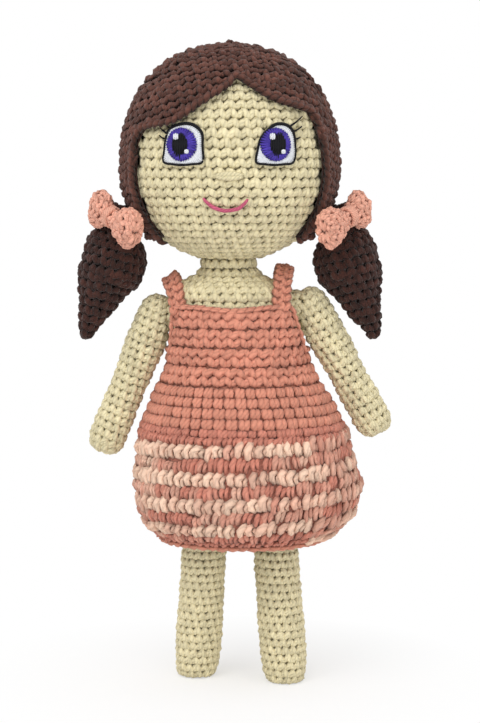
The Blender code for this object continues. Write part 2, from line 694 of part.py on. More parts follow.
def arm_hoops(shoulder, hand, grow, sides):
    """Hoops of an arm with a round root and a round hand, and its two end points."""
    along, across, up, length = limb_frame(shoulder, hand)
    shoulder, hand = np.asarray(shoulder, float), np.asarray(hand, float)
    hoops = []
    for angle in (30, 60):
        turn = math.radians(angle)
        radius = (ARM_RADIUS + grow) * math.sin(turn)
        centre = shoulder - along * (ARM_RADIUS + grow) * math.cos(turn)
        hoops.append(disc_hoop(centre, across, up, radius, radius, sides))
    for place, width in ARM_TUBE_SHARES:
        radius = ARM_RADIUS * width + grow
        hoops.append(disc_hoop(shoulder + along * length * place, across, up, radius, radius, sides))
    palm = ARM_RADIUS * ARM_TUBE_SHARES[-1][1] + grow
    for angle in (60, 30):
        turn = math.radians(angle)
        centre = hand + along * palm * math.cos(turn)
        hoops.append(disc_hoop(centre, across, up, palm * math.sin(turn), palm * math.sin(turn), sides))
    return hoops, shoulder - along * (ARM_RADIUS + grow), hand + along * palm


def torso_side(mirror, low, high):
    """How far out the torso reaches on one side between two heights."""
    heights = [TORSO_BASE_Z + TORSO_HEIGHT * row[0] for row in reversed(TORSO_SHARES)]
    edges = [MIDDLE_X + TORSO_DRIFT * row[3] + mirror * TORSO_HALF_WIDTH * row[1]
             for row in reversed(TORSO_SHARES)]
    levels = [low, high] + [height for height in heights if low < height < high]
    return mirror * max(mirror * float(np.interp(level, heights, edges)) for level in levels)


def arm(side, mirror, shoulder_drop, reach):
    """An arm's fabric, cut flat where it is sewn to the torso, and its stuffing."""
    level = TORSO_TOP_Z - shoulder_drop
    sweep = ARM_ROOT_SHARE * ARM_RADIUS
    root_cut = torso_side(mirror, level - sweep, level + sweep) + mirror * GAP
    shoulder = (root_cut + mirror * (ARM_RADIUS - ARM_SEAT), 0, level)
    hand = beside(shoulder, mirror, reach)
    pivot = hinge_point(side + "_arm_hinge", shoulder)
    outer = arm_hoops(shoulder, hand, 0, 16)
    skin = solid(side + "_arm", loft(*outer), MATERIALS["skin"], pivot)
    hollow = cutter(side + "_arm_room", loft(*arm_hoops(shoulder, hand, -FABRIC, 16)))
    cut(skin, hollow)
    core = solid(side + "_arm_stuffing", loft(*arm_hoops(shoulder, hand, -FABRIC - GAP, 12)),
                 MATERIALS["stuffing"], pivot)
    room = 3 * ARM_RADIUS
    near, far = sorted((root_cut, root_cut - mirror * room))
    trim = cutter(side + "_arm_trim", box((near, -room, level - room), (far, room, level + room)))
    cut(skin, trim)
    cut(core, trim)


def leg_hoops(hip, step, grow, sides):
    """Level hoops of a leg, from its rounded top to its flat sole."""
    hoops = []
    flat = (np.array((1, 0, 0)), np.array((0, 1, 0)))
    for angle in (LEG_OPENING_ANGLE, 45, 68, 90):
        turn = math.radians(angle)
        radius = (LEG_RADIUS + grow) * math.sin(turn)
        centre = np.array((hip, 0, HIP_Z + (LEG_RADIUS + grow) * math.cos(turn)))
        hoops.append(disc_hoop(centre, *flat, radius, radius, sides))
    for height, width in LEG_SHARES:
        radius = LEG_RADIUS * width + grow
        centre = np.array((hip + step[0] * (1 - height), step[1] * (1 - height), HIP_Z * height))
        hoops.append(disc_hoop(centre, *flat, radius, radius, sides))
    return hoops


def leg(side, hip, step):
    """A leg's fabric, open at the hip, and its stuffing."""
    pivot = hinge_point(side + "_leg_hinge", (hip, 0, HIP_Z))
    outer = leg_hoops(hip, step, 0, 18)
    inner = leg_hoops(hip, step, -FABRIC, 18)[:-3]
    solid(side + "_leg", loft(inner[::-1] + outer), MATERIALS["skin"], pivot)
    core = leg_hoops(hip, step, -FABRIC - GAP, 12)[:-3]
    lift = np.array((0, 0, GAP))
    core[-1] = [p + lift for p in core[-1]]
    solid(side + "_leg_stuffing", loft(core), MATERIALS["stuffing"], pivot)


# Dress


def dress_table():
    """Heights, half widths, half depths, drifts and arc lengths down the dress."""
    rows = []
    for height, flare, drift in DRESS_SHARES:
        level = DRESS_HEM_Z + (DRESS_TOP_Z - DRESS_HEM_Z) * height
        rows.append((level, BODICE_HALF_WIDTH + SKIRT_FLARE * flare,
                     BODICE_HALF_DEPTH + SKIRT_FLARE_DEEP * flare, MIDDLE_X + DRESS_DRIFT * drift))
    rows = np.array(rows)
    steps = np.hypot(np.diff(rows[:, 0]), np.diff(rows[:, 1]))
    return rows, np.concatenate([[0], np.cumsum(steps)])


def dress_point(arc, azimuth, inset):
    """A point at an arc length down the dress, this far inside its outer face."""
    rows, arcs = DRESS_ROWS
    level, wide, deep, drift = (float(np.interp(arc, arcs, rows[:, c])) for c in range(4))
    near, far = arc - FABRIC, arc + FABRIC
    fall = np.interp(far, arcs, rows[:, 0]) - np.interp(near, arcs, rows[:, 0])
    swell = np.interp(far, arcs, rows[:, 1]) - np.interp(near, arcs, rows[:, 1])
    size = math.hypot(fall, swell)
    wide, deep, level = wide + inset * fall / size, deep + inset * fall / size, level - inset * swell / size
    angle = math.radians(azimuth)
    return np.array((drift + wide * math.sin(angle), -deep * math.cos(angle), level))


def dress_arc_at(height):
    """The arc length at which the dress has this height."""
    rows, arcs = DRESS_ROWS
    return float(np.interp(-height, -rows[:, 0], arcs))


def top_height(azimuth):
    """The height of the dress's upper edge."""
    around = abs((azimuth + 180) % 360 - 180)
    drop = float(np.interp(around, [a for a, _ in ARMHOLE_SHARES], [s for _, s in ARMHOLE_SHARES]))
    return NECKLINE_Z - UNDERARM_DROP * drop


def dress_wall(starts, ends, rows):
    """A ring of dress wall between two arc lengths per column."""
    columns = [360 * step / DRESS_COLUMNS for step in range(DRESS_COLUMNS)]
    hoops = []
    for inset, order in ((0, range(rows + 1)), (DRESS_WALL, range(rows, -1, -1))):
        for row in order:
            hoops.append([dress_point(starts(a) + (ends(a) - starts(a)) * row / rows, a, inset)
                          for a in columns])
    return loft(hoops, looped=True)


def dress():
    """The bodice, the skirt in its two-tone yarn, and the hem row."""
    change = dress_arc_at(BODICE_END_Z)
    end = DRESS_ROWS[1][-1]
    hem = end - HEM_BAND
    solid("bodice", dress_wall(lambda a: dress_arc_at(top_height(a)), lambda a: change - GAP, 6),
          MATERIALS["salmon"])
    solid("skirt", dress_wall(lambda a: change, lambda a: hem - GAP, 8), MATERIALS["peach"])
    solid("hem", dress_wall(lambda a: hem, lambda a: end, 1), MATERIALS["salmon"])


def strap_path(mirror, azimuth, reach):
    """Places along a strap, the way across it at each, from the front edge to the back."""
    front = dress_point(dress_arc_at(top_height(azimuth)), mirror * azimuth, 0.5 * DRESS_WALL)
    front[2] += GAP + 0.5 * GAP
    chest = MIDDLE_X + mirror * TORSO_HALF_WIDTH * CHEST_SHARES[0]
    crest = np.array((chest + mirror * reach[0], 0, NECKLINE_Z + reach[1]))
    rise = crest - front
    ways = [front, front + rise * (0.16, 0.10, 0.34), front + rise * (0.62, 0.46, 0.82)]
    back = [np.array((p[0], -p[1], p[2])) for p in reversed(ways)]
    places = smooth_through([*ways, crest, *back], 2)
    edge = unit((math.cos(math.radians(azimuth)), mirror * math.sin(math.radians(azimuth)), 0))
    crosses = []
    for index in range(len(places)):
        share = abs(2 * index / (len(places) - 1) - 1) ** 1.5
        turned = np.array((edge[0], edge[1] if index < len(places) / 2 else -edge[1], 0))
        leaning = unit((1, 0, -mirror * STRAP_LEAN_SHARE))
        crosses.append(unit(turned * share + leaning * (1 - share)))
    return places, crosses


def strap(side, mirror, azimuth, reach):
    """A flat band over the shoulder, standing on the bodice's edge in front and behind."""
    places, crosses = strap_path(mirror, azimuth, reach)
    outline = ((-1, -0.4), (-0.8, -1), (0.8, -1), (1, -0.4), (1, 0.4), (0.8, 1), (-0.8, 1), (-1, 0.4))
    hoops = []
    for index, (place, cross) in enumerate(zip(places, crosses)):
        before, after = places[max(index - 1, 0)], places[min(index + 1, len(places) - 1)]
        along = unit(after - before)
        if index in (0, len(places) - 1):
            along = np.array((0, 0, 1 if index == 0 else -1))
        cross = unit(cross - along * np.dot(cross, along))
        out = np.cross(along, cross)
        hoops.append([place + cross * 0.5 * STRAP_WIDTH * u + out * 0.5 * STRAP_THICK * v
                      for u, v in outline])
    solid(side + "_strap", loft(hoops), MATERIALS["salmon"])


MATERIALS = {
    "skin": finish("skin yarn", (0.62, 0.53, 0.31), 0.9),
    "dark": finish("bunch yarn", (0.055, 0.022, 0.018), 0.9),
    "hair": finish("cap yarn", (0.11, 0.045, 0.035), 0.9),
    "salmon": finish("salmon yarn", (0.68, 0.27, 0.18), 0.9),
    "peach": finish("two-tone yarn", (0.76, 0.40, 0.26), 0.9),
    "violet": finish("violet thread", (0.07, 0.03, 0.38), 0.7),
    "black": finish("black thread", (0.012, 0.012, 0.018), 0.6),
    "white": finish("white thread", (0.80, 0.84, 0.84), 0.7),
    "rose": finish("rose yarn", (0.62, 0.10, 0.16), 0.85),
    "stuffing": finish("stuffing", (0.85, 0.85, 0.83), 0.95),
    "thread": finish("sewing thread", (0.5, 0.5, 0.5), 0.9),
}
DRESS_ROWS = dress_table()

HEAD_PIVOT = hinge_point("head_pivot", (HEAD_X, 0, HEAD_Z - HEAD_DROP))
torso()
solid("head", head_shell(), MATERIALS["skin"], HEAD_PIVOT)
solid("head_stuffing", head_stuffing(), MATERIALS["stuffing"], HEAD_PIVOT)
hair_cap()
solid("crown_knot", crown_knot(), MATERIALS["hair"], HEAD_PIVOT)
eye("left", -1, LEFT_EYE_BORDER_SHARES, LEFT_PUPIL_SHARES, LEFT_LASH_SHARES)
eye("right", 1, RIGHT_EYE_BORDER_SHARES, RIGHT_PUPIL_SHARES, RIGHT_LASH_SHARES)
solid("nose", nose(), MATERIALS["skin"], HEAD_PIVOT)
solid("mouth", mouth(), MATERIALS["rose"], HEAD_PIVOT)
for side, mirror in (("left", -1), ("right", 1)):
    root = hinge_point(side + "_bunch_hinge", bunch_root(mirror))
    bunch(side, mirror, root)
    bow(side, mirror, root)
arm("left", -1, LEFT_SHOULDER_DROP, LEFT_ARM_REACH)
arm("right", 1, RIGHT_SHOULDER_DROP, RIGHT_ARM_REACH)
leg("left", LEFT_HIP_X, LEFT_STEP)
leg("right", RIGHT_HIP_X, RIGHT_STEP)
dress()
strap("left", -1, LEFT_STRAP_AZIMUTH, LEFT_STRAP_REACH)
strap("right", 1, RIGHT_STRAP_AZIMUTH, RIGHT_STRAP_REACH)
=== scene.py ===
"""A crocheted doll, dressed stitch by stitch over its CAD frame.

All lengths are in metres and every place is the frame's own: the doll stands on z = 0
and faces -Y. Left and right are the viewer's. A turn goes round a piece from its front,
towards the viewer's right.
"""

import logging
import math
from collections.abc import Callable
from dataclasses import dataclass, field
from enum import Enum

import bmesh
import bpy
import numpy as np
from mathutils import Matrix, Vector


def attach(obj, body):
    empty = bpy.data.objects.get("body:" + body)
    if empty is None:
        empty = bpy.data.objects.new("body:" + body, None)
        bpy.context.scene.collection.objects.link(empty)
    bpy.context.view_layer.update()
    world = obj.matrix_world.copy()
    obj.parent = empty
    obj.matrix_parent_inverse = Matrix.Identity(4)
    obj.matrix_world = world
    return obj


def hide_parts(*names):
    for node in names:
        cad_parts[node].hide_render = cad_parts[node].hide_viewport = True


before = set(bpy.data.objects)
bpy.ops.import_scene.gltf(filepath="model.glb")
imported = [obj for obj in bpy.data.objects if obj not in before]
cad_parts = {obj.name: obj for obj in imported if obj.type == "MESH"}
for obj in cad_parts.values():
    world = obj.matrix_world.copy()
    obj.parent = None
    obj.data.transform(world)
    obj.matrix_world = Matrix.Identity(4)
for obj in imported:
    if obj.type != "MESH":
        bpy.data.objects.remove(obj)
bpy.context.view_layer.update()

LOG = logging.getLogger("doll")
SEED = 7

X_AXIS = np.array((1.0, 0.0, 0.0))
FRONT = np.array((0.0, -1.0, 0.0))
UPWARD = np.array((0.0, 0.0, 1.0))
MIDDLE_X = 0.0031
# How far a ground lies under its surface, and a wall's outer and inner face.
GROUND_LIFT = -0.0026
WALL_OUTER = -0.0020
WALL_INNER = -0.0031
# A ground's map: repeats a metre, repeats round a tube and a wall, and its height among stitches, which sets
# the painted shade that darkens it.
GROUND_MAP = 220.0
TUBE_REPEATS = 36.0
WALL_REPEATS = 60.0
GROUND_SHADE_CREST = 0.55
# The lumps on yarn and on satin thread, and how fine they are.
LUMPS = 0.0016
SATIN_LUMPS = 0.0003
LUMP_SCALE = 620.0
# The arc length over which dipped rows reach their full dip.
DIP_REACH = 0.035


# Shapes


def unit(vectors: np.ndarray) -> np.ndarray:
    """The vectors at length one, along the last axis."""
    vectors = np.asarray(vectors, float)
    return vectors / np.maximum(np.linalg.norm(vectors, axis=-1, keepdims=True), 1e-12)


def arc_lengths(points: np.ndarray) -> np.ndarray:
    """How far each point is along the line through them."""
    return np.concatenate([[0], np.cumsum(np.linalg.norm(np.diff(points, axis=0), axis=1))])


def full_turn(count: int, phase: float = 0.0) -> np.ndarray:
    """Even turns once round, all shifted by a share of a step."""
    return 2 * math.pi * (np.arange(count) + phase) / count


def wrapped_degrees(turns: np.ndarray) -> np.ndarray:
    """Turns as degrees between -180 and 180."""
    return np.degrees((turns + math.pi) % (2 * math.pi) - math.pi)


def dome(radius: float, degrees: tuple[float, ...], power: float = 1.0) -> list[tuple[float, float]]:
    """A dome's steps along its axis and its radii, at angles from its pole."""
    turns = [math.radians(angle) for angle in degrees]
    return [(radius * math.cos(turn), radius * math.sin(turn) ** power) for turn in turns]


def smooth_table(knots: np.ndarray, values: np.ndarray) -> Callable[[np.ndarray], np.ndarray]:
    """A smooth way through the rows of a table that doesn't overshoot them.

    Args:
        knots: rising places of the rows.
        values: one row of numbers for each knot.

    Returns:
        A function from places to rows.
    """
    knots, values = np.asarray(knots, float), np.asarray(values, float)
    steps = np.maximum(np.diff(knots), 1e-9)[:, None]
    slopes = np.diff(values, axis=0) / steps
    product, total = slopes[1:] * slopes[:-1], slopes[1:] + slopes[:-1]
    inner = np.where(product > 0, 2 * product / np.where(np.abs(total) < 1e-12, 1.0, total), 0.0)
    tangents = np.vstack([slopes[:1], inner, slopes[-1:]])

    def at(places: np.ndarray) -> np.ndarray:
        """The table's row at each place."""
        places = np.clip(np.asarray(places, float), knots[0], knots[-1])
        cell = np.clip(np.searchsorted(knots, places, side="right") - 1, 0, len(knots) - 2)
        width = steps[cell]
        share = ((places - knots[cell]) / width[..., 0])[..., None]
        two, three = share**2, share**3
        return (values[cell] * (2 * three - 3 * two + 1) + tangents[cell] * width * (three - 2 * two + share)
                + values[cell + 1] * (3 * two - 2 * three) + tangents[cell + 1] * width * (three - two))

    return at


def smooth_loop(points: np.ndarray, count: int) -> np.ndarray:
    """Evenly spaced points on a smooth closed line through the given ones."""
    points = np.asarray(points, float)
    steps = np.linspace(0, len(points), 16 * len(points), endpoint=False)
    base = steps.astype(int)
    share = (steps - base)[:, None]
    p = [points[(base + k) % len(points)] for k in (-1, 0, 1, 2)]
    dense = 0.5 * (2 * p[1] + (p[2] - p[0]) * share + (2 * p[0] - 5 * p[1] + 4 * p[2] - p[3]) * share**2
                   + (3 * p[1] - p[0] - 3 * p[2] + p[3]) * share**3)
    ring = np.vstack([dense, dense[:1]])
    arcs = arc_lengths(ring)
    places = np.linspace(0, arcs[-1], count, endpoint=False)
    return np.stack([np.interp(places, arcs, ring[:, c]) for c in range(points.shape[1])], axis=1)


def smooth_line(points: np.ndarray, count: int) -> np.ndarray:
    """Evenly spaced points on a smooth open line through the given ones."""
    points = np.asarray(points, float)
    arcs = arc_lengths(points)
    return smooth_table(arcs, points)(np.linspace(0, arcs[-1], count))


@dataclass
class Hoops:
    """A smooth tube through hoops, from its start to its end.

    Each hoop has a middle, the directions to its right and its front, and its half sizes
    along them.
    """

    middles: np.ndarray
    rights: np.ndarray
    fronts: np.ndarray
    wides: np.ndarray
    deeps: np.ndarray
    arcs: np.ndarray = field(init=False)

    def __post_init__(self) -> None:
        """Measures how far each hoop is along the tube's wall."""
        reaches = (self.rights * self.wides[:, None], self.fronts * self.deeps[:, None])
        steps = [np.linalg.norm(np.diff(self.middles + sign * reach, axis=0), axis=1)
                 for sign in (-1, 1) for reach in reaches]
        self.arcs = np.concatenate([[0.0], np.cumsum(np.maximum(np.mean(steps, axis=0), 1e-7))])
        self._way = smooth_table(self.arcs, np.hstack([
            self.middles, self.rights, self.fronts, self.wides[:, None], self.deeps[:, None]]))

    @property
    def length(self) -> float:
        """How long the wall is from the first hoop to the last."""
        return float(self.arcs[-1])

    def point(self, arc: np.ndarray, turn: np.ndarray) -> np.ndarray:
        """Points on the wall at these arc lengths and turns."""
        arc, turn = np.broadcast_arrays(np.asarray(arc, float), np.asarray(turn, float))
        row = self._way(arc)
        right, front = unit(row[..., 3:6]), unit(row[..., 6:9])
        return (row[..., :3] + right * (row[..., 9] * np.sin(turn))[..., None]
                + front * (row[..., 10] * np.cos(turn))[..., None])

    def frames(self, arc: np.ndarray, turn: np.ndarray) -> tuple[np.ndarray, np.ndarray, np.ndarray]:
        """Points on the wall, the direction along the row there, and the one outwards."""
        small, tiny = 2e-4, 2e-3
        arc, turn = np.broadcast_arrays(np.asarray(arc, float), np.asarray(turn, float))
        low, high = np.clip(arc - small, 0, self.length), np.clip(arc + small, 0, self.length)
        along = unit(self.point(arc, turn + tiny) - self.point(arc, turn - tiny))
        back = unit(self.point(low, turn) - self.point(high, turn))
        return self.point(arc, turn), along, unit(np.cross(along, back))

    def girth(self, arc: float) -> float:
        """The way round the tube at an arc length."""
        row = self._way(np.array(arc))
        wide, deep = float(row[9]), float(row[10])
        return math.pi * (3 * (wide + deep) - math.sqrt(max((3 * wide + deep) * (wide + 3 * deep), 0)))

    def lifted(self, arc: np.ndarray, turn: np.ndarray, lift: float) -> np.ndarray:
        """Points this far above the wall."""
        point, _, out = self.frames(arc, turn)
        return point + out * lift

    def arc_at_height(self, height: float) -> float:
        """The arc length at which a tube of level hoops has this height."""
        return float(np.interp(-height, -self.middles[:, 2], self.arcs))


def even_hoops(middles: np.ndarray, right: np.ndarray, front: np.ndarray, wides: np.ndarray,
               deeps: np.ndarray) -> Hoops:
    """A tube of hoops that all face one way."""
    count = len(middles)
    return Hoops(middles, np.tile(right, (count, 1)), np.tile(front, (count, 1)), wides, deeps)


def straight_hoops(start: np.ndarray, end: np.ndarray, stations: list[tuple[float, ...]]) -> Hoops:
    """A round tube about a straight line, from places along it, radii and steps along X off it."""
    start, end = np.asarray(start, float), np.asarray(end, float)
    along = unit(end - start)
    front = unit(FRONT - along * np.dot(FRONT, along))
    right = np.cross(front, along)
    radii = np.array([row[1] for row in stations])
    places = np.array([start + along * row[0] + X_AXIS * sum(row[2:]) for row in stations])
    return even_hoops(places, right, front, radii, radii)


def level_hoops(rows: list[tuple[float, ...]]) -> Hoops:
    """A tube of level hoops, each with a middle's three numbers, a half width and a half depth."""
    table = np.array(rows, float)
    return even_hoops(table[:, :3], X_AXIS, FRONT, table[:, 3], table[:, 4])


def make_object(name: str, points: np.ndarray, faces: list[tuple[int, ...]]) -> bpy.types.Object:
    """A closed mesh object at the origin, smooth and with its faces outwards."""
    mesh = bpy.data.meshes.new(name)
    mesh.from_pydata([tuple(p) for p in np.asarray(points, float)], [], faces)
    made = bmesh.new()
    made.from_mesh(mesh)
    bmesh.ops.recalc_face_normals(made, faces=made.faces)
    if made.calc_volume(signed=True) < 0:
        bmesh.ops.reverse_faces(made, faces=made.faces)
    made.to_mesh(mesh)
    made.free()
    mesh.polygons.foreach_set("use_smooth", [True] * len(mesh.polygons))
    obj = bpy.data.objects.new(name, mesh)
    bpy.context.scene.collection.objects.link(obj)
    return obj


def ring_faces(rings: int, sides: int, looped: bool = False) -> list[tuple[int, ...]]:
    """Faces between rings that follow each other."""
    faces = []
    for ring in range(rings if looped else rings - 1):
        one, two = ring * sides, ((ring + 1) % rings) * sides
        faces += [(one + s, two + s, two + (s + 1) % sides, one + (s + 1) % sides) for s in range(sides)]
    return faces


def map_rings(mesh: bpy.types.Mesh, rings: np.ndarray, across: float, around: float, crest: float) -> None:
    """Maps a mesh made of rings, and says how high its surface lies among the stitches, which sets its
    painted shade.

    Args:
        mesh: the mesh, its points in the rings' order.
        rings: the rings' points, rings by sides by three.
        across: how many times a metre the map repeats from ring to ring.
        around: how many times it repeats round a ring.
        crest: the height among the stitches, from 0 deep to 1; the lower, the darker its painted shade.
    """
    count, sides = rings.shape[:2]
    steps = np.linalg.norm(np.diff(rings, axis=0), axis=2).mean(1)
    arcs = np.concatenate([[0.0], np.cumsum(steps)]) * across
    layer = mesh.uv_layers.new(name="UVMap").data
    total = count * sides
    for face in mesh.polygons:
        rows = [v // sides if v < total else (0 if v == total else count - 1) for v in face.vertices]
        columns = [v % sides if v < total else 0 for v in face.vertices]
        looped = max(rows) - min(rows) > 1
        for loop, row, column in zip(face.loop_indices, rows, columns):
            wrapped = column + (sides if column == 0 and max(columns) == sides - 1 else 0)
            layer[loop].uv = (arcs[-1] + steps.mean() * across if looped and row == 0 else arcs[row],
                              around * wrapped / sides)
    crests = mesh.attributes.new("crest", "FLOAT", "POINT").data
    crests.foreach_set("value", np.full(len(mesh.vertices), crest))


def closed_tube(name: str, rings: np.ndarray, across: float = GROUND_MAP, around: float = TUBE_REPEATS,
                crest: float = GROUND_SHADE_CREST) -> bpy.types.Object:
    """A tube through rings of points, with a pole at each end, mapped as map_rings says."""
    count, sides = rings.shape[:2]
    points = np.vstack([rings.reshape(-1, 3), rings[0].mean(0), rings[-1].mean(0)])
    faces = ring_faces(count, sides)
    last, start, end = (count - 1) * sides, count * sides, count * sides + 1
    faces += [(s, (s + 1) % sides, start) for s in range(sides)]
    faces += [(last + (s + 1) % sides, last + s, end) for s in range(sides)]
    made = make_object(name, points, faces)
    map_rings(made.data, rings, across, around, crest)
    return made


# Finishes


def linear(red: float, green: float, blue: float) -> tuple[float, float, float, float]:
    """A screen colour from 0 to 255 as Blender's linear values."""
    made = []
    for part in (red, green, blue):
        share = part / 255
        made.append(share / 12.92 if share <= 0.04045 else ((share + 0.055) / 1.055) ** 2.4)
    return (made[0], made[1], made[2], 1.0)


def maths(tree: bpy.types.NodeTree, operation: str, first: object,
          second: object = None) -> bpy.types.NodeSocket:
    """A Math node on two sockets or numbers."""
    node = tree.nodes.new("ShaderNodeMath")
    node.operation = operation
    for index, value in enumerate((first, second)):
        if isinstance(value, bpy.types.NodeSocket):
            tree.links.new(value, node.inputs[index])
        elif value is not None:
            node.inputs[index].default_value = value
    return node.outputs[0]


def set_inputs(node: bpy.types.Node, values: dict[str, object]) -> None:
    """Sets a node's inputs by their names."""
    for label, value in values.items():
        node.inputs[label].default_value = value


class ShaderGroups:
    """The shader node groups that the finishes share."""

    @staticmethod
    def _new(name: str, inputs: dict[str, object], outputs: dict[str, str]) -> bpy.types.NodeTree:
        """An empty group; a number makes a float input and a tuple a colour."""
        tree = bpy.data.node_groups.new(name, "ShaderNodeTree")
        for label, value in inputs.items():
            kind = "NodeSocketFloat" if isinstance(value, float) else "NodeSocketColor"
            tree.interface.new_socket(label, in_out="INPUT", socket_type=kind).default_value = value
        for label, kind in outputs.items():
            tree.interface.new_socket(label, in_out="OUTPUT", socket_type=kind)
        return tree

    @classmethod
    def twist(cls) -> bpy.types.NodeTree:
        """Plies that wind round a strand, with stray fibres, as a height for the bump and a groove mask for
        painted shade.
        """
        known = bpy.data.node_groups.get("yarn_twist")
        if known:
            return known
        tree = cls._new("yarn_twist", {"Plies": 3.0, "Turns": 2.0, "Fibre Scale": 1700.0, "Fibres": 1.0},
                        {"Height": "NodeSocketFloat", "Groove": "NodeSocketFloat"})
        given, result = tree.nodes.new("NodeGroupInput"), tree.nodes.new("NodeGroupOutput")
        place = tree.nodes.new("ShaderNodeTexCoord")
        split = tree.nodes.new("ShaderNodeSeparateXYZ")
        tree.links.new(place.outputs["UV"], split.inputs[0])
        along = maths(tree, "MULTIPLY", split.outputs[0], given.outputs["Turns"])
        around = maths(tree, "MULTIPLY", split.outputs[1], given.outputs["Plies"])
        phase = maths(tree, "MULTIPLY", maths(tree, "ADD", along, around), math.pi)
        wave = maths(tree, "ABSOLUTE", maths(tree, "SINE", phase))
        ply = maths(tree, "POWER", wave, 0.55)
        noise = tree.nodes.new("ShaderNodeTexNoise")
        noise.inputs["Detail"].default_value = 4.0
        tree.links.new(place.outputs["Object"], noise.inputs["Vector"])
        tree.links.new(given.outputs["Fibre Scale"], noise.inputs["Scale"])
        fuzz = maths(tree, "MULTIPLY", noise.outputs[0], given.outputs["Fibres"])
        tree.links.new(maths(tree, "ADD", ply, fuzz), result.inputs["Height"])
        tree.links.new(maths(tree, "SUBTRACT", 1.0, ply), result.inputs["Groove"])
        return tree

    @classmethod
    def tone(cls) -> bpy.types.NodeTree:
        """A yarn's colour at a stitch: two dyes, uneven dye, and painted shade on the deep parts among the
        stitches and in the grooves between plies.
        """
        known = bpy.data.node_groups.get("yarn_tone")
        if known:
            return known
        grey = (0.5, 0.5, 0.5, 1)
        tree = cls._new("yarn_tone", {"Dye": grey, "Second Dye": grey, "Unevenness": 0.16, "Deep Shade": 0.5,
                                      "Groove": 0.0, "Groove Shade": 0.35}, {"Colour": "NodeSocketColor"})
        given, result = tree.nodes.new("NodeGroupInput"), tree.nodes.new("NodeGroupOutput")
        known_values = {}
        for label in ("tint", "tone", "crest"):
            node = tree.nodes.new("ShaderNodeAttribute")
            node.attribute_name = label
            known_values[label] = node.outputs["Fac"]
        dyes = tree.nodes.new("ShaderNodeMix")
        dyes.data_type = "RGBA"
        tree.links.new(known_values["tint"], dyes.inputs[0])
        tree.links.new(given.outputs["Dye"], dyes.inputs[6])
        tree.links.new(given.outputs["Second Dye"], dyes.inputs[7])
        place = tree.nodes.new("ShaderNodeTexCoord")
        patch = tree.nodes.new("ShaderNodeTexNoise")
        set_inputs(patch, {"Scale": 160.0, "Detail": 5.0, "Roughness": 0.75})
        tree.links.new(place.outputs["Object"], patch.inputs["Vector"])
        mottle = maths(tree, "MULTIPLY", patch.outputs[0], 2.4)
        uneven = maths(tree, "SUBTRACT", maths(tree, "ADD", known_values["tone"], mottle), 1.7)
        bright = maths(tree, "ADD", maths(tree, "MULTIPLY", uneven, given.outputs["Unevenness"]), 1.0)
        # Painted shade: the lower a place lies among the stitches, the darker it is painted.
        deep = maths(tree, "SUBTRACT", 1.0, known_values["crest"])
        shade = maths(tree, "SUBTRACT", 1.0, maths(tree, "MULTIPLY", deep, given.outputs["Deep Shade"]))
        # Painted shade in the grooves between the plies.
        groove = maths(tree, "SUBTRACT", 1.0, maths(
            tree, "MULTIPLY", given.outputs["Groove"], given.outputs["Groove Shade"]))
        total = maths(tree, "MULTIPLY", maths(tree, "MULTIPLY", bright, shade), groove)
        scaled = tree.nodes.new("ShaderNodeVectorMath")
        scaled.operation = "SCALE"
        tree.links.new(dyes.outputs[2], scaled.inputs[0])
        tree.links.new(total, scaled.inputs["Scale"])
        tree.links.new(scaled.outputs[0], result.inputs["Colour"])
        return tree


@dataclass(frozen=True)
class Yarn:
    """A yarn's finish, and the record's slot that it belongs to."""

    name: str
    slot: str
    dye: tuple[int, int, int]
    second_dye: tuple[int, int, int]
    roughness: float = 0.86
    sheen: float = 0.12
    plies: float = 3.0
    turns: float = 2.0
    unevenness: float = 0.18
    # Painted shade: how dark the deep parts among the stitches and the grooves between plies are made.
    deep_shade: float = 0.34
    groove_shade: float = 0.22
    bump: float = 0.6

    def material(self) -> bpy.types.Material:
        """The yarn's material, made once."""
        known = bpy.data.materials.get(self.name)
        if known:
            return known
        made = bpy.data.materials.new(self.name)
        made.use_nodes = True
        tree = made.node_tree
        shader = tree.nodes["Principled BSDF"]
        set_inputs(shader, {"Roughness": self.roughness, "Sheen Weight": self.sheen, "Sheen Roughness": 0.5,
                            "Specular IOR Level": 0.25})
        twist = tree.nodes.new("ShaderNodeGroup")
        twist.node_tree = ShaderGroups.twist()
        set_inputs(twist, {"Plies": self.plies, "Turns": self.turns})
        tone = tree.nodes.new("ShaderNodeGroup")
        tone.node_tree = ShaderGroups.tone()
        set_inputs(tone, {"Dye": linear(*self.dye), "Second Dye": linear(*self.second_dye),
                          "Unevenness": self.unevenness, "Deep Shade": self.deep_shade,
                          "Groove Shade": self.groove_shade})
        bump = tree.nodes.new("ShaderNodeBump")
        set_inputs(bump, {"Strength": self.bump, "Distance": 0.0006})
        tree.links.new(twist.outputs["Groove"], tone.inputs["Groove"])
        tree.links.new(twist.outputs["Height"], bump.inputs["Height"])
        tree.links.new(tone.outputs["Colour"], shader.inputs["Base Color"])
        tree.links.new(bump.outputs["Normal"], shader.inputs["Normal"])
        made.diffuse_color = linear(*self.dye)
        return made


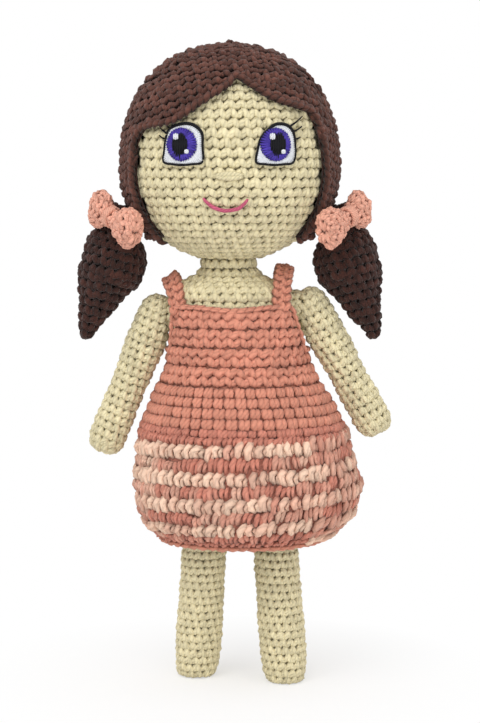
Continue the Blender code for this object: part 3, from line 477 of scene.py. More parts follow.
# Each yarn's deep_shade and groove_shade are painted shade, strongest on the cap and the bunches.
SKIN = Yarn("worked_skin_yarn", "skin_yarn", (231, 220, 181), (238, 229, 198), deep_shade=0.32)
CAP = Yarn("worked_cap_yarn", "cap_yarn", (98, 61, 51), (128, 84, 72), unevenness=0.56, deep_shade=0.92,
           groove_shade=0.38)
DARK = Yarn("worked_bunch_yarn", "bunch_yarn", (65, 36, 29), (88, 54, 45), unevenness=0.56, deep_shade=0.96,
            groove_shade=0.38)
SALMON = Yarn("worked_salmon_yarn", "salmon_yarn", (220, 148, 125), (230, 166, 144), deep_shade=0.46)
PINK = Yarn("worked_bow_yarn", "salmon_yarn", (242, 178, 155), (247, 192, 172), deep_shade=0.42)
TWO_TONE = Yarn("worked_two_tone_yarn", "two_tone_yarn", (208, 135, 116), (244, 208, 184), unevenness=0.24,
                deep_shade=0.52)
VIOLET = Yarn("worked_violet_thread", "violet_thread", (72, 56, 160), (98, 80, 196), roughness=0.6, sheen=0.0,
              plies=2.0, turns=3.0, unevenness=0.6, deep_shade=0.45)
BLACK = Yarn("worked_black_thread", "black_thread", (18, 18, 24), (26, 26, 34), roughness=0.8, sheen=0.0,
             plies=2.0, turns=3.0, unevenness=0.3)
WHITE = Yarn("worked_white_thread", "white_thread", (238, 241, 247), (248, 250, 253), roughness=0.5,
             sheen=0.0, plies=2.0, turns=3.0, unevenness=0.08, deep_shade=0.16)
ROSE = Yarn("worked_rose_yarn", "rose_yarn", (222, 104, 138), (238, 146, 172), roughness=0.75, plies=4.0,
            unevenness=0.5, groove_shade=0.35)


# Stitches


class Stitch(Enum):
    """The stitches, each a set of strands in a cell one wide and one tall.

    A strand is five places, across, up and out, with the strand's radius at each.
    """

    SINGLE = (
        ((-0.42, 0.45, 0.04, 0.23), (-0.37, 0.23, 0.20, 0.31), (-0.26, -0.02, 0.27, 0.34),
         (-0.14, -0.25, 0.20, 0.31), (-0.04, -0.47, 0.04, 0.22)),
        ((0.45, 0.43, 0.00, 0.22), (0.38, 0.22, 0.15, 0.29), (0.27, -0.02, 0.22, 0.32),
         (0.17, -0.25, 0.16, 0.29), (0.09, -0.45, 0.00, 0.21)),
    )
    PEAK = (
        ((-0.43, -0.44, 0.04, 0.23), (-0.36, -0.22, 0.20, 0.31), (-0.25, 0.04, 0.27, 0.34),
         (-0.13, 0.26, 0.20, 0.31), (-0.03, 0.46, 0.02, 0.22)),
        ((0.46, -0.42, 0.00, 0.22), (0.38, -0.21, 0.16, 0.29), (0.27, 0.03, 0.23, 0.32),
         (0.17, 0.25, 0.16, 0.29), (0.09, 0.44, 0.00, 0.21)),
    )
    BLOCK = (
        ((-0.21, 0.40, -0.06, 0.24), (-0.20, 0.22, 0.16, 0.31), (-0.19, 0.00, 0.25, 0.33),
         (-0.18, -0.22, 0.16, 0.31), (-0.17, -0.40, -0.06, 0.23)),
        ((0.21, 0.40, -0.08, 0.24), (0.20, 0.22, 0.13, 0.31), (0.19, 0.00, 0.21, 0.33),
         (0.18, -0.22, 0.13, 0.31), (0.17, -0.40, -0.08, 0.23)),
    )
    POST = (
        ((-0.22, -0.46, -0.04, 0.18), (-0.34, -0.22, 0.20, 0.25), (-0.33, 0.06, 0.31, 0.28),
         (-0.20, 0.31, 0.22, 0.25), (0.02, 0.46, -0.04, 0.18)),
        ((0.26, -0.46, -0.06, 0.17), (0.15, -0.22, 0.12, 0.23), (0.17, 0.06, 0.24, 0.26),
         (0.30, 0.31, 0.16, 0.23), (0.50, 0.43, -0.06, 0.17)),
    )
    PUFF = (
        ((0.40, 0.42, -0.08, 0.19), (0.02, 0.38, 0.20, 0.29), (-0.24, 0.10, 0.34, 0.35),
         (-0.20, -0.22, 0.27, 0.32), (0.10, -0.45, -0.06, 0.20)),
        ((0.62, 0.26, -0.10, 0.15), (0.42, 0.10, 0.06, 0.23), (0.30, -0.08, 0.14, 0.26),
         (0.36, -0.28, 0.08, 0.23), (0.54, -0.44, -0.10, 0.15)),
    )
    ROPE = (
        ((-0.80, -0.30, -0.20, 0.14), (-0.40, -0.16, 0.12, 0.32), (0.02, 0.02, 0.22, 0.40),
         (0.42, 0.18, 0.10, 0.32), (0.78, 0.30, -0.20, 0.14)),
    )
    STRAND = (
        ((-0.47, 0.0, -0.35, 0.25), (-0.34, 0.0, 0.08, 0.46), (0.0, 0.0, 0.22, 0.54),
         (0.34, 0.0, 0.08, 0.46), (0.47, 0.0, -0.35, 0.25)),
    )

    def model(self) -> bpy.types.Object:
        """The stitch's mesh, made once and kept out of the renders."""
        name = "stitch_" + self.name.lower()
        known = bpy.data.objects.get(name)
        if known:
            return known
        sides, points, faces, places = 6, [], [], []
        for strand in self.value:
            table = np.array(strand, float)
            centres, radii = table[:, :3], table[:, 3]
            ways = unit(np.gradient(centres, axis=0))
            base, steps = len(points), len(table)
            for centre, radius, way in zip(centres, radii, ways):
                across = unit(np.cross(way, UPWARD))
                out = np.cross(across, way)
                for side in range(sides):
                    turn = 2 * math.pi * side / sides
                    points.append(centre + radius * (across * math.cos(turn) + out * math.sin(turn)))
            for step in range(steps - 1):
                one, two = base + step * sides, base + (step + 1) * sides
                for side in range(sides):
                    after = (side + 1) % sides
                    faces.append((one + side, one + after, two + after, two + side))
                    low, high = step / (steps - 1), (step + 1) / (steps - 1)
                    places += [(low, side / sides), (low, (side + 1) / sides),
                               (high, (side + 1) / sides), (high, side / sides)]
            faces.append(tuple(base + s for s in reversed(range(sides))))
            places += [(0.0, s / sides) for s in reversed(range(sides))]
            last = base + (steps - 1) * sides
            faces.append(tuple(last + s for s in range(sides)))
            places += [(1.0, s / sides) for s in range(sides)]
        points = np.array(points)
        mesh = bpy.data.meshes.new(name)
        mesh.from_pydata([tuple(p) for p in points], [], faces)
        mesh.uv_layers.new(name="UVMap").data.foreach_set("uv", np.array(places, float).ravel())
        # Each point's height in the stitch, which sets its painted shade: the lower, the darker.
        crests = np.clip((points[:, 2] + 0.10) / 0.60, 0, 1)
        mesh.attributes.new("crest", "FLOAT", "POINT").data.foreach_set("value", crests)
        made = bmesh.new()
        made.from_mesh(mesh)
        bmesh.ops.recalc_face_normals(made, faces=made.faces)
        made.to_mesh(mesh)
        made.free()
        obj = bpy.data.objects.new(name, mesh)
        obj.hide_render = True
        bpy.context.scene.collection.objects.link(obj)
        return obj


class StitchTree:
    """Geometry Nodes that set a stitch on each point, turned and sized by its attributes."""

    NAME = "stitch_rows"

    @classmethod
    def get(cls) -> bpy.types.NodeTree:
        """The node tree, made once."""
        known = bpy.data.node_groups.get(cls.NAME)
        if known:
            return known
        tree = bpy.data.node_groups.new(cls.NAME, "GeometryNodeTree")
        sockets = (("Points", "NodeSocketGeometry", None), ("Stitch", "NodeSocketObject", None),
                   ("Unevenness", "NodeSocketFloat", 0.08), ("Sway", "NodeSocketFloat", 0.1),
                   ("Fuzz", "NodeSocketFloat", 0.001), ("Seed", "NodeSocketInt", SEED),
                   ("Yarn", "NodeSocketMaterial", None))
        for label, kind, value in sockets:
            socket = tree.interface.new_socket(label, in_out="INPUT", socket_type=kind)
            if value is not None:
                socket.default_value = value
        tree.interface.new_socket("Fabric", in_out="OUTPUT", socket_type="NodeSocketGeometry")
        new, link = tree.nodes.new, tree.links.new
        given, result = new("NodeGroupInput"), new("NodeGroupOutput")
        model = new("GeometryNodeObjectInfo")
        link(given.outputs["Stitch"], model.inputs["Object"])

        def attribute(label: str) -> bpy.types.NodeSocket:
            """A point's own vector."""
            node = new("GeometryNodeInputNamedAttribute")
            node.data_type = "FLOAT_VECTOR"
            node.inputs[0].default_value = label
            return node.outputs[0]

        def chance(low: object, high: object, salt: int, kind: str = "FLOAT") -> bpy.types.NodeSocket:
            """A random value for each point, from the tree's seed."""
            node = new("FunctionNodeRandomValue")
            node.data_type = kind
            ends = [s for s in node.inputs if s.enabled and s.name in ("Min", "Max")]
            ends[0].default_value, ends[1].default_value = low, high
            link(maths(tree, "ADD", given.outputs["Seed"], salt), node.inputs["Seed"])
            return next(s for s in node.outputs if s.enabled)

        def vector_maths(operation: str, first: object, second: object) -> bpy.types.NodeSocket:
            """A Vector Math node on two sockets, or on a socket and a value."""
            node = new("ShaderNodeVectorMath")
            node.operation = operation
            link(first, node.inputs[0])
            other = node.inputs["Scale"] if operation == "SCALE" else node.inputs[1]
            if isinstance(second, bpy.types.NodeSocket):
                link(second, other)
            else:
                other.default_value = second
            return node.outputs[0]

        def jitter(salt: int, share: str) -> bpy.types.NodeSocket:
            """A random vector for each point, as long as one of the tree's inputs says."""
            vector = chance((-1, -1, -1), (1, 1, 1), salt, "FLOAT_VECTOR")
            return vector_maths("SCALE", vector, given.outputs[share])

        facing = new("FunctionNodeAxesToRotation")
        facing.primary_axis, facing.secondary_axis = "Z", "X"
        link(vector_maths("ADD", attribute("out"), jitter(1, "Sway")), facing.inputs[0])
        link(attribute("along"), facing.inputs[1])
        swell = vector_maths("ADD", jitter(2, "Unevenness"), (1, 1, 1))
        size = vector_maths("MULTIPLY", attribute("size"), swell)
        rows = new("GeometryNodeInstanceOnPoints")
        link(given.outputs["Points"], rows.inputs["Points"])
        link(model.outputs["Geometry"], rows.inputs["Instance"])
        link(facing.outputs[0], rows.inputs["Rotation"])
        link(size, rows.inputs["Scale"])
        toned = new("GeometryNodeStoreNamedAttribute")
        toned.data_type, toned.domain = "FLOAT", "INSTANCE"
        toned.inputs["Name"].default_value = "tone"
        link(rows.outputs[0], toned.inputs["Geometry"])
        link(chance(0.0, 1.0, 3), next(s for s in toned.inputs if s.enabled and s.name == "Value"))
        made = toned.outputs[0]
        for label in ("out", "along", "size"):
            bare = new("GeometryNodeRemoveAttribute")
            bare.inputs["Name"].default_value = label
            link(made, bare.inputs[0])
            made = bare.outputs[0]
        real, smooth = new("GeometryNodeRealizeInstances"), new("GeometryNodeSetShadeSmooth")
        lumpy, finish = new("GeometryNodeSetPosition"), new("GeometryNodeSetMaterial")
        link(made, real.inputs[0])
        noise = new("ShaderNodeTexNoise")
        noise.inputs["Scale"].default_value = LUMP_SCALE
        link(new("GeometryNodeInputPosition").outputs[0], noise.inputs["Vector"])
        lumps = vector_maths("SUBTRACT", noise.outputs["Color"], (0.5, 0.5, 0.5))
        link(real.outputs[0], lumpy.inputs["Geometry"])
        link(vector_maths("SCALE", lumps, given.outputs["Fuzz"]), lumpy.inputs["Offset"])
        link(lumpy.outputs[0], smooth.inputs[0])
        link(smooth.outputs[0], finish.inputs[0])
        link(given.outputs["Yarn"], finish.inputs["Material"])
        link(finish.outputs[0], result.inputs[0])
        return tree


@dataclass
class Spots:
    """Where stitches lie: places, directions along the row and outwards, sizes and tints."""

    places: np.ndarray
    alongs: np.ndarray
    outs: np.ndarray
    sizes: np.ndarray
    tints: np.ndarray

    def kept(self, mask: np.ndarray) -> "Spots":
        """The spots for which the mask is true."""
        return Spots(*(table[mask] for table in vars(self).values()))

    @staticmethod
    def joined(parts: list["Spots"]) -> "Spots":
        """All the spots in one set."""
        return Spots(*map(np.concatenate, zip(*(vars(part).values() for part in parts))))


def spots_at(surface: Hoops, arc: np.ndarray, turn: np.ndarray, cell: tuple[float, float, float],
             lift: float, overlap: float = 1.03, lean: float | np.ndarray = 0.0) -> Spots:
    """Stitches on a surface, each as wide and tall as the surface is across its cell.

    Args:
        surface: the tube that they lie on.
        arc: their arc lengths.
        turn: their turns.
        cell: a cell's turn, its arc length and the stitch's thickness.
        lift: how far above the surface their middles are.
        overlap: their size as a share of the cell.
        lean: how far they lean along the row.

    Returns:
        The stitches' spots.
    """
    arc, turn = np.broadcast_arrays(np.asarray(arc, float), np.asarray(turn, float))
    point, along, out = surface.frames(arc, turn)
    step, tall, thick = cell
    wides = np.linalg.norm(surface.point(arc, turn + step / 2) - surface.point(arc, turn - step / 2), axis=1)
    talls = np.linalg.norm(surface.point(arc + tall / 2, turn) - surface.point(arc - tall / 2, turn), axis=1)
    talls = np.clip(talls, 0.7 * tall, 1.6 * tall)
    along = unit(along + np.cross(out, along) * np.reshape(lean, (-1, 1)))
    sizes = np.stack([wides * overlap, talls * overlap, np.full(len(point), thick)], axis=1)
    return Spots(point + out * lift, along, out, sizes, np.zeros(len(point)))


@dataclass(frozen=True)
class Gauge:
    """How a fabric is worked: the stitch's width and height, its thickness, and how rows shift."""

    wide: float
    tall: float
    thick: float = 0.0040
    lift: float = -0.0019
    shift: float = 0.18
    lean: float = 0.0
    overlap: float = 1.06

    def rows(self, surface: Hoops, start: float, end: float,
             keep: Callable[[np.ndarray, np.ndarray], np.ndarray] | None = None, dip: float = 0.0) -> Spots:
        """Rows of stitches round a surface between two arc lengths.

        Args:
            surface: the tube that they lie on.
            start: the first row's upper edge, as an arc length.
            end: the last row's lower edge.
            keep: says from arcs and turns which stitches stay.
            dip: how much lower the rows lie at the tube's two sides than at its front.

        Returns:
            The stitches' spots.
        """
        count = max(int(round((end - start) / self.tall)), 1)
        tall = (end - start) / count
        parts, phase = [], 0.0
        for row in range(count):
            arc = start + (row + 0.5) * tall
            girth = surface.girth(arc)
            many = max(int(round(girth / self.wide)), 3)
            turn = full_turn(many, phase)
            phase += self.shift
            fade = dip * min(arc / DIP_REACH, 1.0)
            arcs = arc + fade * np.sin(turn) ** 2
            if keep is not None:
                turn, arcs = turn[keep(arcs, turn)], arcs[keep(arcs, turn)]
            if len(turn):
                cell = (2 * math.pi / many, tall, self.thick)
                lean = self.lean - fade * np.sin(2 * turn) * 2 * math.pi / girth
                parts.append(spots_at(surface, arcs, turn, cell, self.lift, self.overlap, lean))
        return Spots.joined(parts)


def crochet(name: str, stitch: Stitch, spots: Spots, yarn: Yarn, unevenness: float = 0.07,
            sway: float = 0.10, seed: int = SEED) -> bpy.types.Object:
    """Works the stitches into one plain mesh.

    Args:
        name: the piece's name.
        stitch: which stitch is worked.
        spots: where each one lies.
        yarn: the finish.
        unevenness: how much their sizes differ.
        sway: how much they tilt.
        seed: the tree's seed for this piece.

    Returns:
        The piece, with no modifier left on it.
    """
    mesh = bpy.data.meshes.new(name + "_points")
    mesh.from_pydata([tuple(p) for p in spots.places], [], [])
    for label, values in (("out", spots.outs), ("along", spots.alongs), ("size", spots.sizes)):
        table = mesh.attributes.new(label, "FLOAT_VECTOR", "POINT").data
        table.foreach_set("vector", values.astype(float).ravel())
    mesh.attributes.new("tint", "FLOAT", "POINT").data.foreach_set("value", spots.tints.astype(float))
    holder = bpy.data.objects.new(name + "_points", mesh)
    bpy.context.scene.collection.objects.link(holder)
    tree = StitchTree.get()
    modifier = holder.modifiers.new("rows", "NODES")
    modifier.node_group = tree
    values = {"Stitch": stitch.model(), "Unevenness": unevenness, "Sway": sway, "Seed": seed,
              "Fuzz": SATIN_LUMPS if stitch is Stitch.STRAND else LUMPS, "Yarn": yarn.material()}
    for item in tree.interface.items_tree:
        if item.item_type == "SOCKET" and item.in_out == "INPUT" and item.name in values:
            modifier[item.identifier] = values[item.name]
    graph = bpy.context.evaluated_depsgraph_get()
    made = bpy.data.meshes.new_from_object(holder.evaluated_get(graph), depsgraph=graph)
    made.name = name
    piece = bpy.data.objects.new(name, made)
    bpy.context.scene.collection.objects.link(piece)
    bpy.data.objects.remove(holder)
    bpy.data.meshes.remove(mesh)
    made.materials.clear()
    made.materials.append(yarn.material())
    made.polygons.foreach_set("material_index", [0] * len(made.polygons))
    LOG.info("%s: %d stitches, %d faces", name, len(spots.places), len(made.polygons))
    return piece


def dress_piece(piece: bpy.types.Object, body: str, yarn: Yarn,
                stands_for: tuple[str, ...] = ()) -> bpy.types.Object:
    """Gives a piece its yarn and body, and hides the CAD nodes that it stands for."""
    if not piece.data.materials:
        piece.data.materials.append(yarn.material())
    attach(piece, body)
    if stands_for:
        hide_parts(*stands_for)
    LOG.info("%s rides on %s", piece.name, body)
    return piece


def work(name: str, stitch: Stitch, spots: Spots, yarn: Yarn, body: str, stands_for: tuple[str, ...] = (),
         **feel: float) -> bpy.types.Object:
    """Crochets a piece and dresses it; feel is crochet's unevenness, sway and seed."""
    return dress_piece(crochet(name, stitch, spots, yarn, **feel), body, yarn, stands_for)


def stuffed(name: str, surface: Hoops, low: float, high: float, shape: tuple[int, int],
            lift: float = GROUND_LIFT,
            mend: Callable[[np.ndarray], np.ndarray] | None = None) -> bpy.types.Object:
    """The closed ground of a stuffed piece, under its stitches."""
    columns, rows = shape
    rings = surface.lifted(np.linspace(low, high, rows)[:, None], full_turn(columns)[None, :], lift)
    return closed_tube(name, rings if mend is None else mend(rings))


def walled(name: str, surface: Hoops, starts: np.ndarray, ends: np.ndarray, turns: np.ndarray, rows: int,
           outer: float = WALL_OUTER, crowned: bool = False) -> bpy.types.Object:
    """A wall of fabric between two edges, with both faces; a crowned one closes at its start."""
    arcs = starts[None, :] + (ends - starts)[None, :] * np.linspace(0, 1, rows)[:, None]
    rings = np.vstack([surface.lifted(arcs, turns[None, :], outer),
                       surface.lifted(arcs, turns[None, :], WALL_INNER)[::-1]])
    if crowned:
        return closed_tube(name, rings)
    made = make_object(name, rings.reshape(-1, 3), ring_faces(len(rings), len(turns), looped=True))
    map_rings(made.data, rings, GROUND_MAP, WALL_REPEATS, GROUND_SHADE_CREST)
    return made


def along_line(points: np.ndarray, outs: np.ndarray, spacing: float, width: float,
               closed: bool) -> Spots:
    """Stitches one after another along a line."""
    ring = np.vstack([points, points[:1]]) if closed else points
    normals = np.vstack([outs, outs[:1]]) if closed else outs
    arcs = arc_lengths(ring)
    count = max(int(round(arcs[-1] / spacing)), 2)
    places = np.linspace(0, arcs[-1], count, endpoint=not closed)
    step = arcs[-1] / count

    def read(table: np.ndarray, at: np.ndarray) -> np.ndarray:
        """The table's rows at arc lengths."""
        return np.stack([np.interp(at, arcs, table[:, c]) for c in range(3)], axis=1)

    ahead = read(ring, np.clip(places + 0.3 * step, 0, arcs[-1]))
    behind = read(ring, np.clip(places - 0.3 * step, 0, arcs[-1]))
    return Spots(read(ring, places), unit(ahead - behind), unit(read(normals, places)),
                 np.tile((step, width, width), (count, 1)), np.zeros(count))


def thread(name: str, points: np.ndarray, radii: np.ndarray, closed: bool = False, sides: int = 8,
           pitch: float = 0.0045) -> bpy.types.Object:
    """A round thread along a line, with a map that winds its plies."""
    points, radii = np.asarray(points, float), np.broadcast_to(np.asarray(radii, float), (len(points),))
    ring = np.vstack([points[-1:], points, points[:1]]) if closed else points
    ways = unit(np.gradient(ring, axis=0))
    ways = ways[1:-1] if closed else ways
    lead = unit(np.cross(ways, UPWARD + 0.31 * X_AXIS))
    other = np.cross(ways, lead)
    turns = full_turn(sides)
    rings = (points[:, None] + radii[:, None, None] * (
        lead[:, None] * np.cos(turns)[None, :, None] + other[:, None] * np.sin(turns)[None, :, None]))
    if not closed:
        return closed_tube(name, rings, 1 / pitch, 1.0, 1.0)
    obj = make_object(name, rings.reshape(-1, 3), ring_faces(len(points), sides, looped=True))
    map_rings(obj.data, rings, 1 / pitch, 1.0, 1.0)
    return obj


# Head and cap


@dataclass
class Head:
    """The head, worked round from its crown, with the places on its face.

    Args of its shape: the middle, half sizes, how far it rises and drops from its widest
    row, and how full its crown is.
    """

    x: float = -0.0009
    z: float = 0.25645
    half_width: float = 0.0512
    half_depth: float = 0.0486
    rise: float = 0.0583
    drop: float = 0.0453
    crown_power: float = 2.25
    gauge: Gauge = Gauge(0.0055, 0.0048, thick=0.0042, shift=0.15)

    def __post_init__(self) -> None:
        """Keeps the face's own surface at hand."""
        self.skin = self.surface(0.0)

    def surface(self, grow: float) -> Hoops:
        """The head's outside, grown by a length."""
        wide, rows = self.half_width + grow, []
        for turn in np.radians(np.concatenate([np.linspace(1.0, 90, 32), np.linspace(94, 170, 20)])):
            upper = turn <= math.pi / 2
            power = 2 / self.crown_power if upper else 1.0
            reach = (self.rise if upper else self.drop) + grow
            radius = wide * math.sin(turn) ** power
            height = self.z + reach * math.copysign(abs(math.cos(turn)) ** power, math.cos(turn))
            rows.append((self.x, 0.0, height, radius, radius * (self.half_depth + grow) / wide))
        return level_hoops(rows)

    def on_face(self, across: np.ndarray, height: np.ndarray, lift: np.ndarray) -> np.ndarray:
        """Places on the face, from lengths across it and heights, lifted off it."""
        across, height, lift = np.broadcast_arrays(*(np.asarray(v, float) for v in (across, height, lift)))
        order = -self.skin.middles[:, 2]
        arc = np.interp(-height, order, self.skin.arcs)
        radius = np.interp(-height, order, self.skin.wides)
        turn = across / (0.5 * radius * (1 + self.half_depth / self.half_width))
        point, _, out = self.skin.frames(arc, turn)
        return point + out * lift[..., None]

    def out_at(self, across: np.ndarray, height: np.ndarray) -> np.ndarray:
        """The direction off the face at a place."""
        return unit(self.on_face(across, height, 0.002) - self.on_face(across, height, 0.0))

    def build(self, cap: "Cap") -> None:
        """Makes the stuffed ground and the rows of stitches that show."""
        end = self.skin.length
        ground = stuffed("head_cloth", self.skin, 0.0, end, (72, 64))
        dress_piece(ground, "head", SKIN, ("head", "head_stuffing"))

        def shown(arcs: np.ndarray, turns: np.ndarray) -> np.ndarray:
            """Which stitches the cap leaves open."""
            edge = cap.edge_height(wrapped_degrees(turns)) + 0.006
            return self.skin.point(arcs, turns)[:, 2] < edge

        spots = self.gauge.rows(self.skin, 0.004, end, shown)
        work("head_stitches", Stitch.SINGLE, spots, SKIN, "head", unevenness=0.10, sway=0.15)


@dataclass
class Cap:
    """The hair cap over the head, with its rolled edge round the face and the nape."""

    head: Head
    grow: float = 0.0036
    nape_share: float = -0.68
    gauge: Gauge = Gauge(0.0046, 0.0042, thick=0.0036, lift=-0.0018, shift=0.12)
    hairline: tuple[tuple[float, float], ...] = (
        (-61.0, -0.72), (-60.7, -0.64), (-60.2, -0.45), (-60.0, -0.26), (-59.8, -0.09), (-59.4, 0.12),
        (-57.6, 0.24), (-53.2, 0.31), (-46.0, 0.33), (-38.3, 0.34), (-32.0, 0.36), (-25.2, 0.41),
        (-16.6, 0.50), (-10.0, 0.56), (-4.0, 0.61), (1.0, 0.67), (5.0, 0.71), (9.0, 0.68), (17.6, 0.60),
        (24.0, 0.55), (31.0, 0.51), (41.0, 0.48), (49.5, 0.45), (53.6, 0.38), (56.4, 0.27),
        (58.2, 0.14), (59.4, -0.04), (60.0, -0.22), (60.5, -0.42), (61.0, -0.60), (61.3, -0.72))

    def __post_init__(self) -> None:
        """Keeps the cap's own surface at hand."""
        self.outside = self.head.surface(self.grow)

    def height(self, share: np.ndarray) -> np.ndarray:
        """The height of a share of the cap's rise, or of its drop below the widest row."""
        share = np.asarray(share, float)
        return self.head.z + np.where(share > 0, share * (self.head.rise + self.grow),
                                      share * (self.head.drop + self.grow))

    def edge_height(self, degrees: np.ndarray) -> np.ndarray:
        """The height of the cap's edge at turns in degrees."""
        table = np.array(self.hairline)
        inside = (degrees > table[0, 0]) & (degrees < table[-1, 0])
        share = np.where(inside, np.interp(degrees, table[:, 0], table[:, 1]), self.nape_share)
        return self.height(share)

    def edge(self) -> tuple[np.ndarray, np.ndarray]:
        """Turns, in radians, and arc lengths of the cap's whole edge."""
        table = np.array(self.hairline)
        nape = np.arange(66.0, 298.0, 4.0)
        turns = np.radians(np.concatenate([table[:, 0], nape]))
        shares = np.concatenate([table[:, 1], np.full(len(nape), self.nape_share)])
        arcs = np.interp(-self.height(shares), -self.outside.middles[:, 2], self.outside.arcs)
        return turns, arcs

    def build(self) -> None:
        """Makes the ground, the stitches, the rolled edge and the knot on the crown."""
        turns, arcs = self.edge()
        ground = walled("cap_cloth", self.outside, np.full(len(turns), 0.0008), arcs - 0.0006, turns, 40,
                        crowned=True)
        dress_piece(ground, "head", CAP, ("hair_cap",))

        def kept(at: np.ndarray, turn: np.ndarray) -> np.ndarray:
            """Which stitches lie above the edge."""
            degrees = wrapped_degrees(turn)
            edge = np.interp(-self.edge_height(degrees), -self.outside.middles[:, 2], self.outside.arcs)
            side = np.abs(np.abs(degrees) - 60.0) > 2.2
            inside = np.abs(degrees) < 60.0
            low = self.outside.point(at, turn)[:, 2] < self.height(0.1)
            return (at < edge - 0.0022) & (side | ~low | inside)

        spots = self.gauge.rows(self.outside, 0.003, float(arcs.max()), kept, dip=0.016)
        stitches = work("cap_stitches", Stitch.SINGLE, spots, CAP, "head", unevenness=0.18, sway=0.26,
                        seed=11)
        closed = np.append(turns, turns[0] + 2 * math.pi)
        along = np.append(arcs, arcs[0])
        line = self.outside.lifted(along - 0.0008, closed, -0.0006)[:-1]
        outs = self.outside.frames(along - 0.0008, closed)[2][:-1]
        line = smooth_loop(np.hstack([line, outs]), 400)
        rope = along_line(line[:, :3], line[:, 3:], 0.0036, 0.0043, True)
        rim = work("cap_edge", Stitch.ROPE, rope, CAP, "head", seed=12)
        self.knot()

    def knot(self) -> None:
        """The fastened end of the cap's yarn."""
        top = self.outside.point(0.0, 0.0)[2]
        turns = np.linspace(0, 2 * math.pi * 1.6, 30)
        radius = np.linspace(0.0016, 0.0005, 30)
        places = np.stack([self.head.x + radius * np.cos(turns), radius * np.sin(turns),
                           np.linspace(top + 0.0001, top + 0.0011, 30)], axis=1)
        dress_piece(thread("crown_tie", places, 0.0009), "head", CAP, ("crown_knot",))


# Face


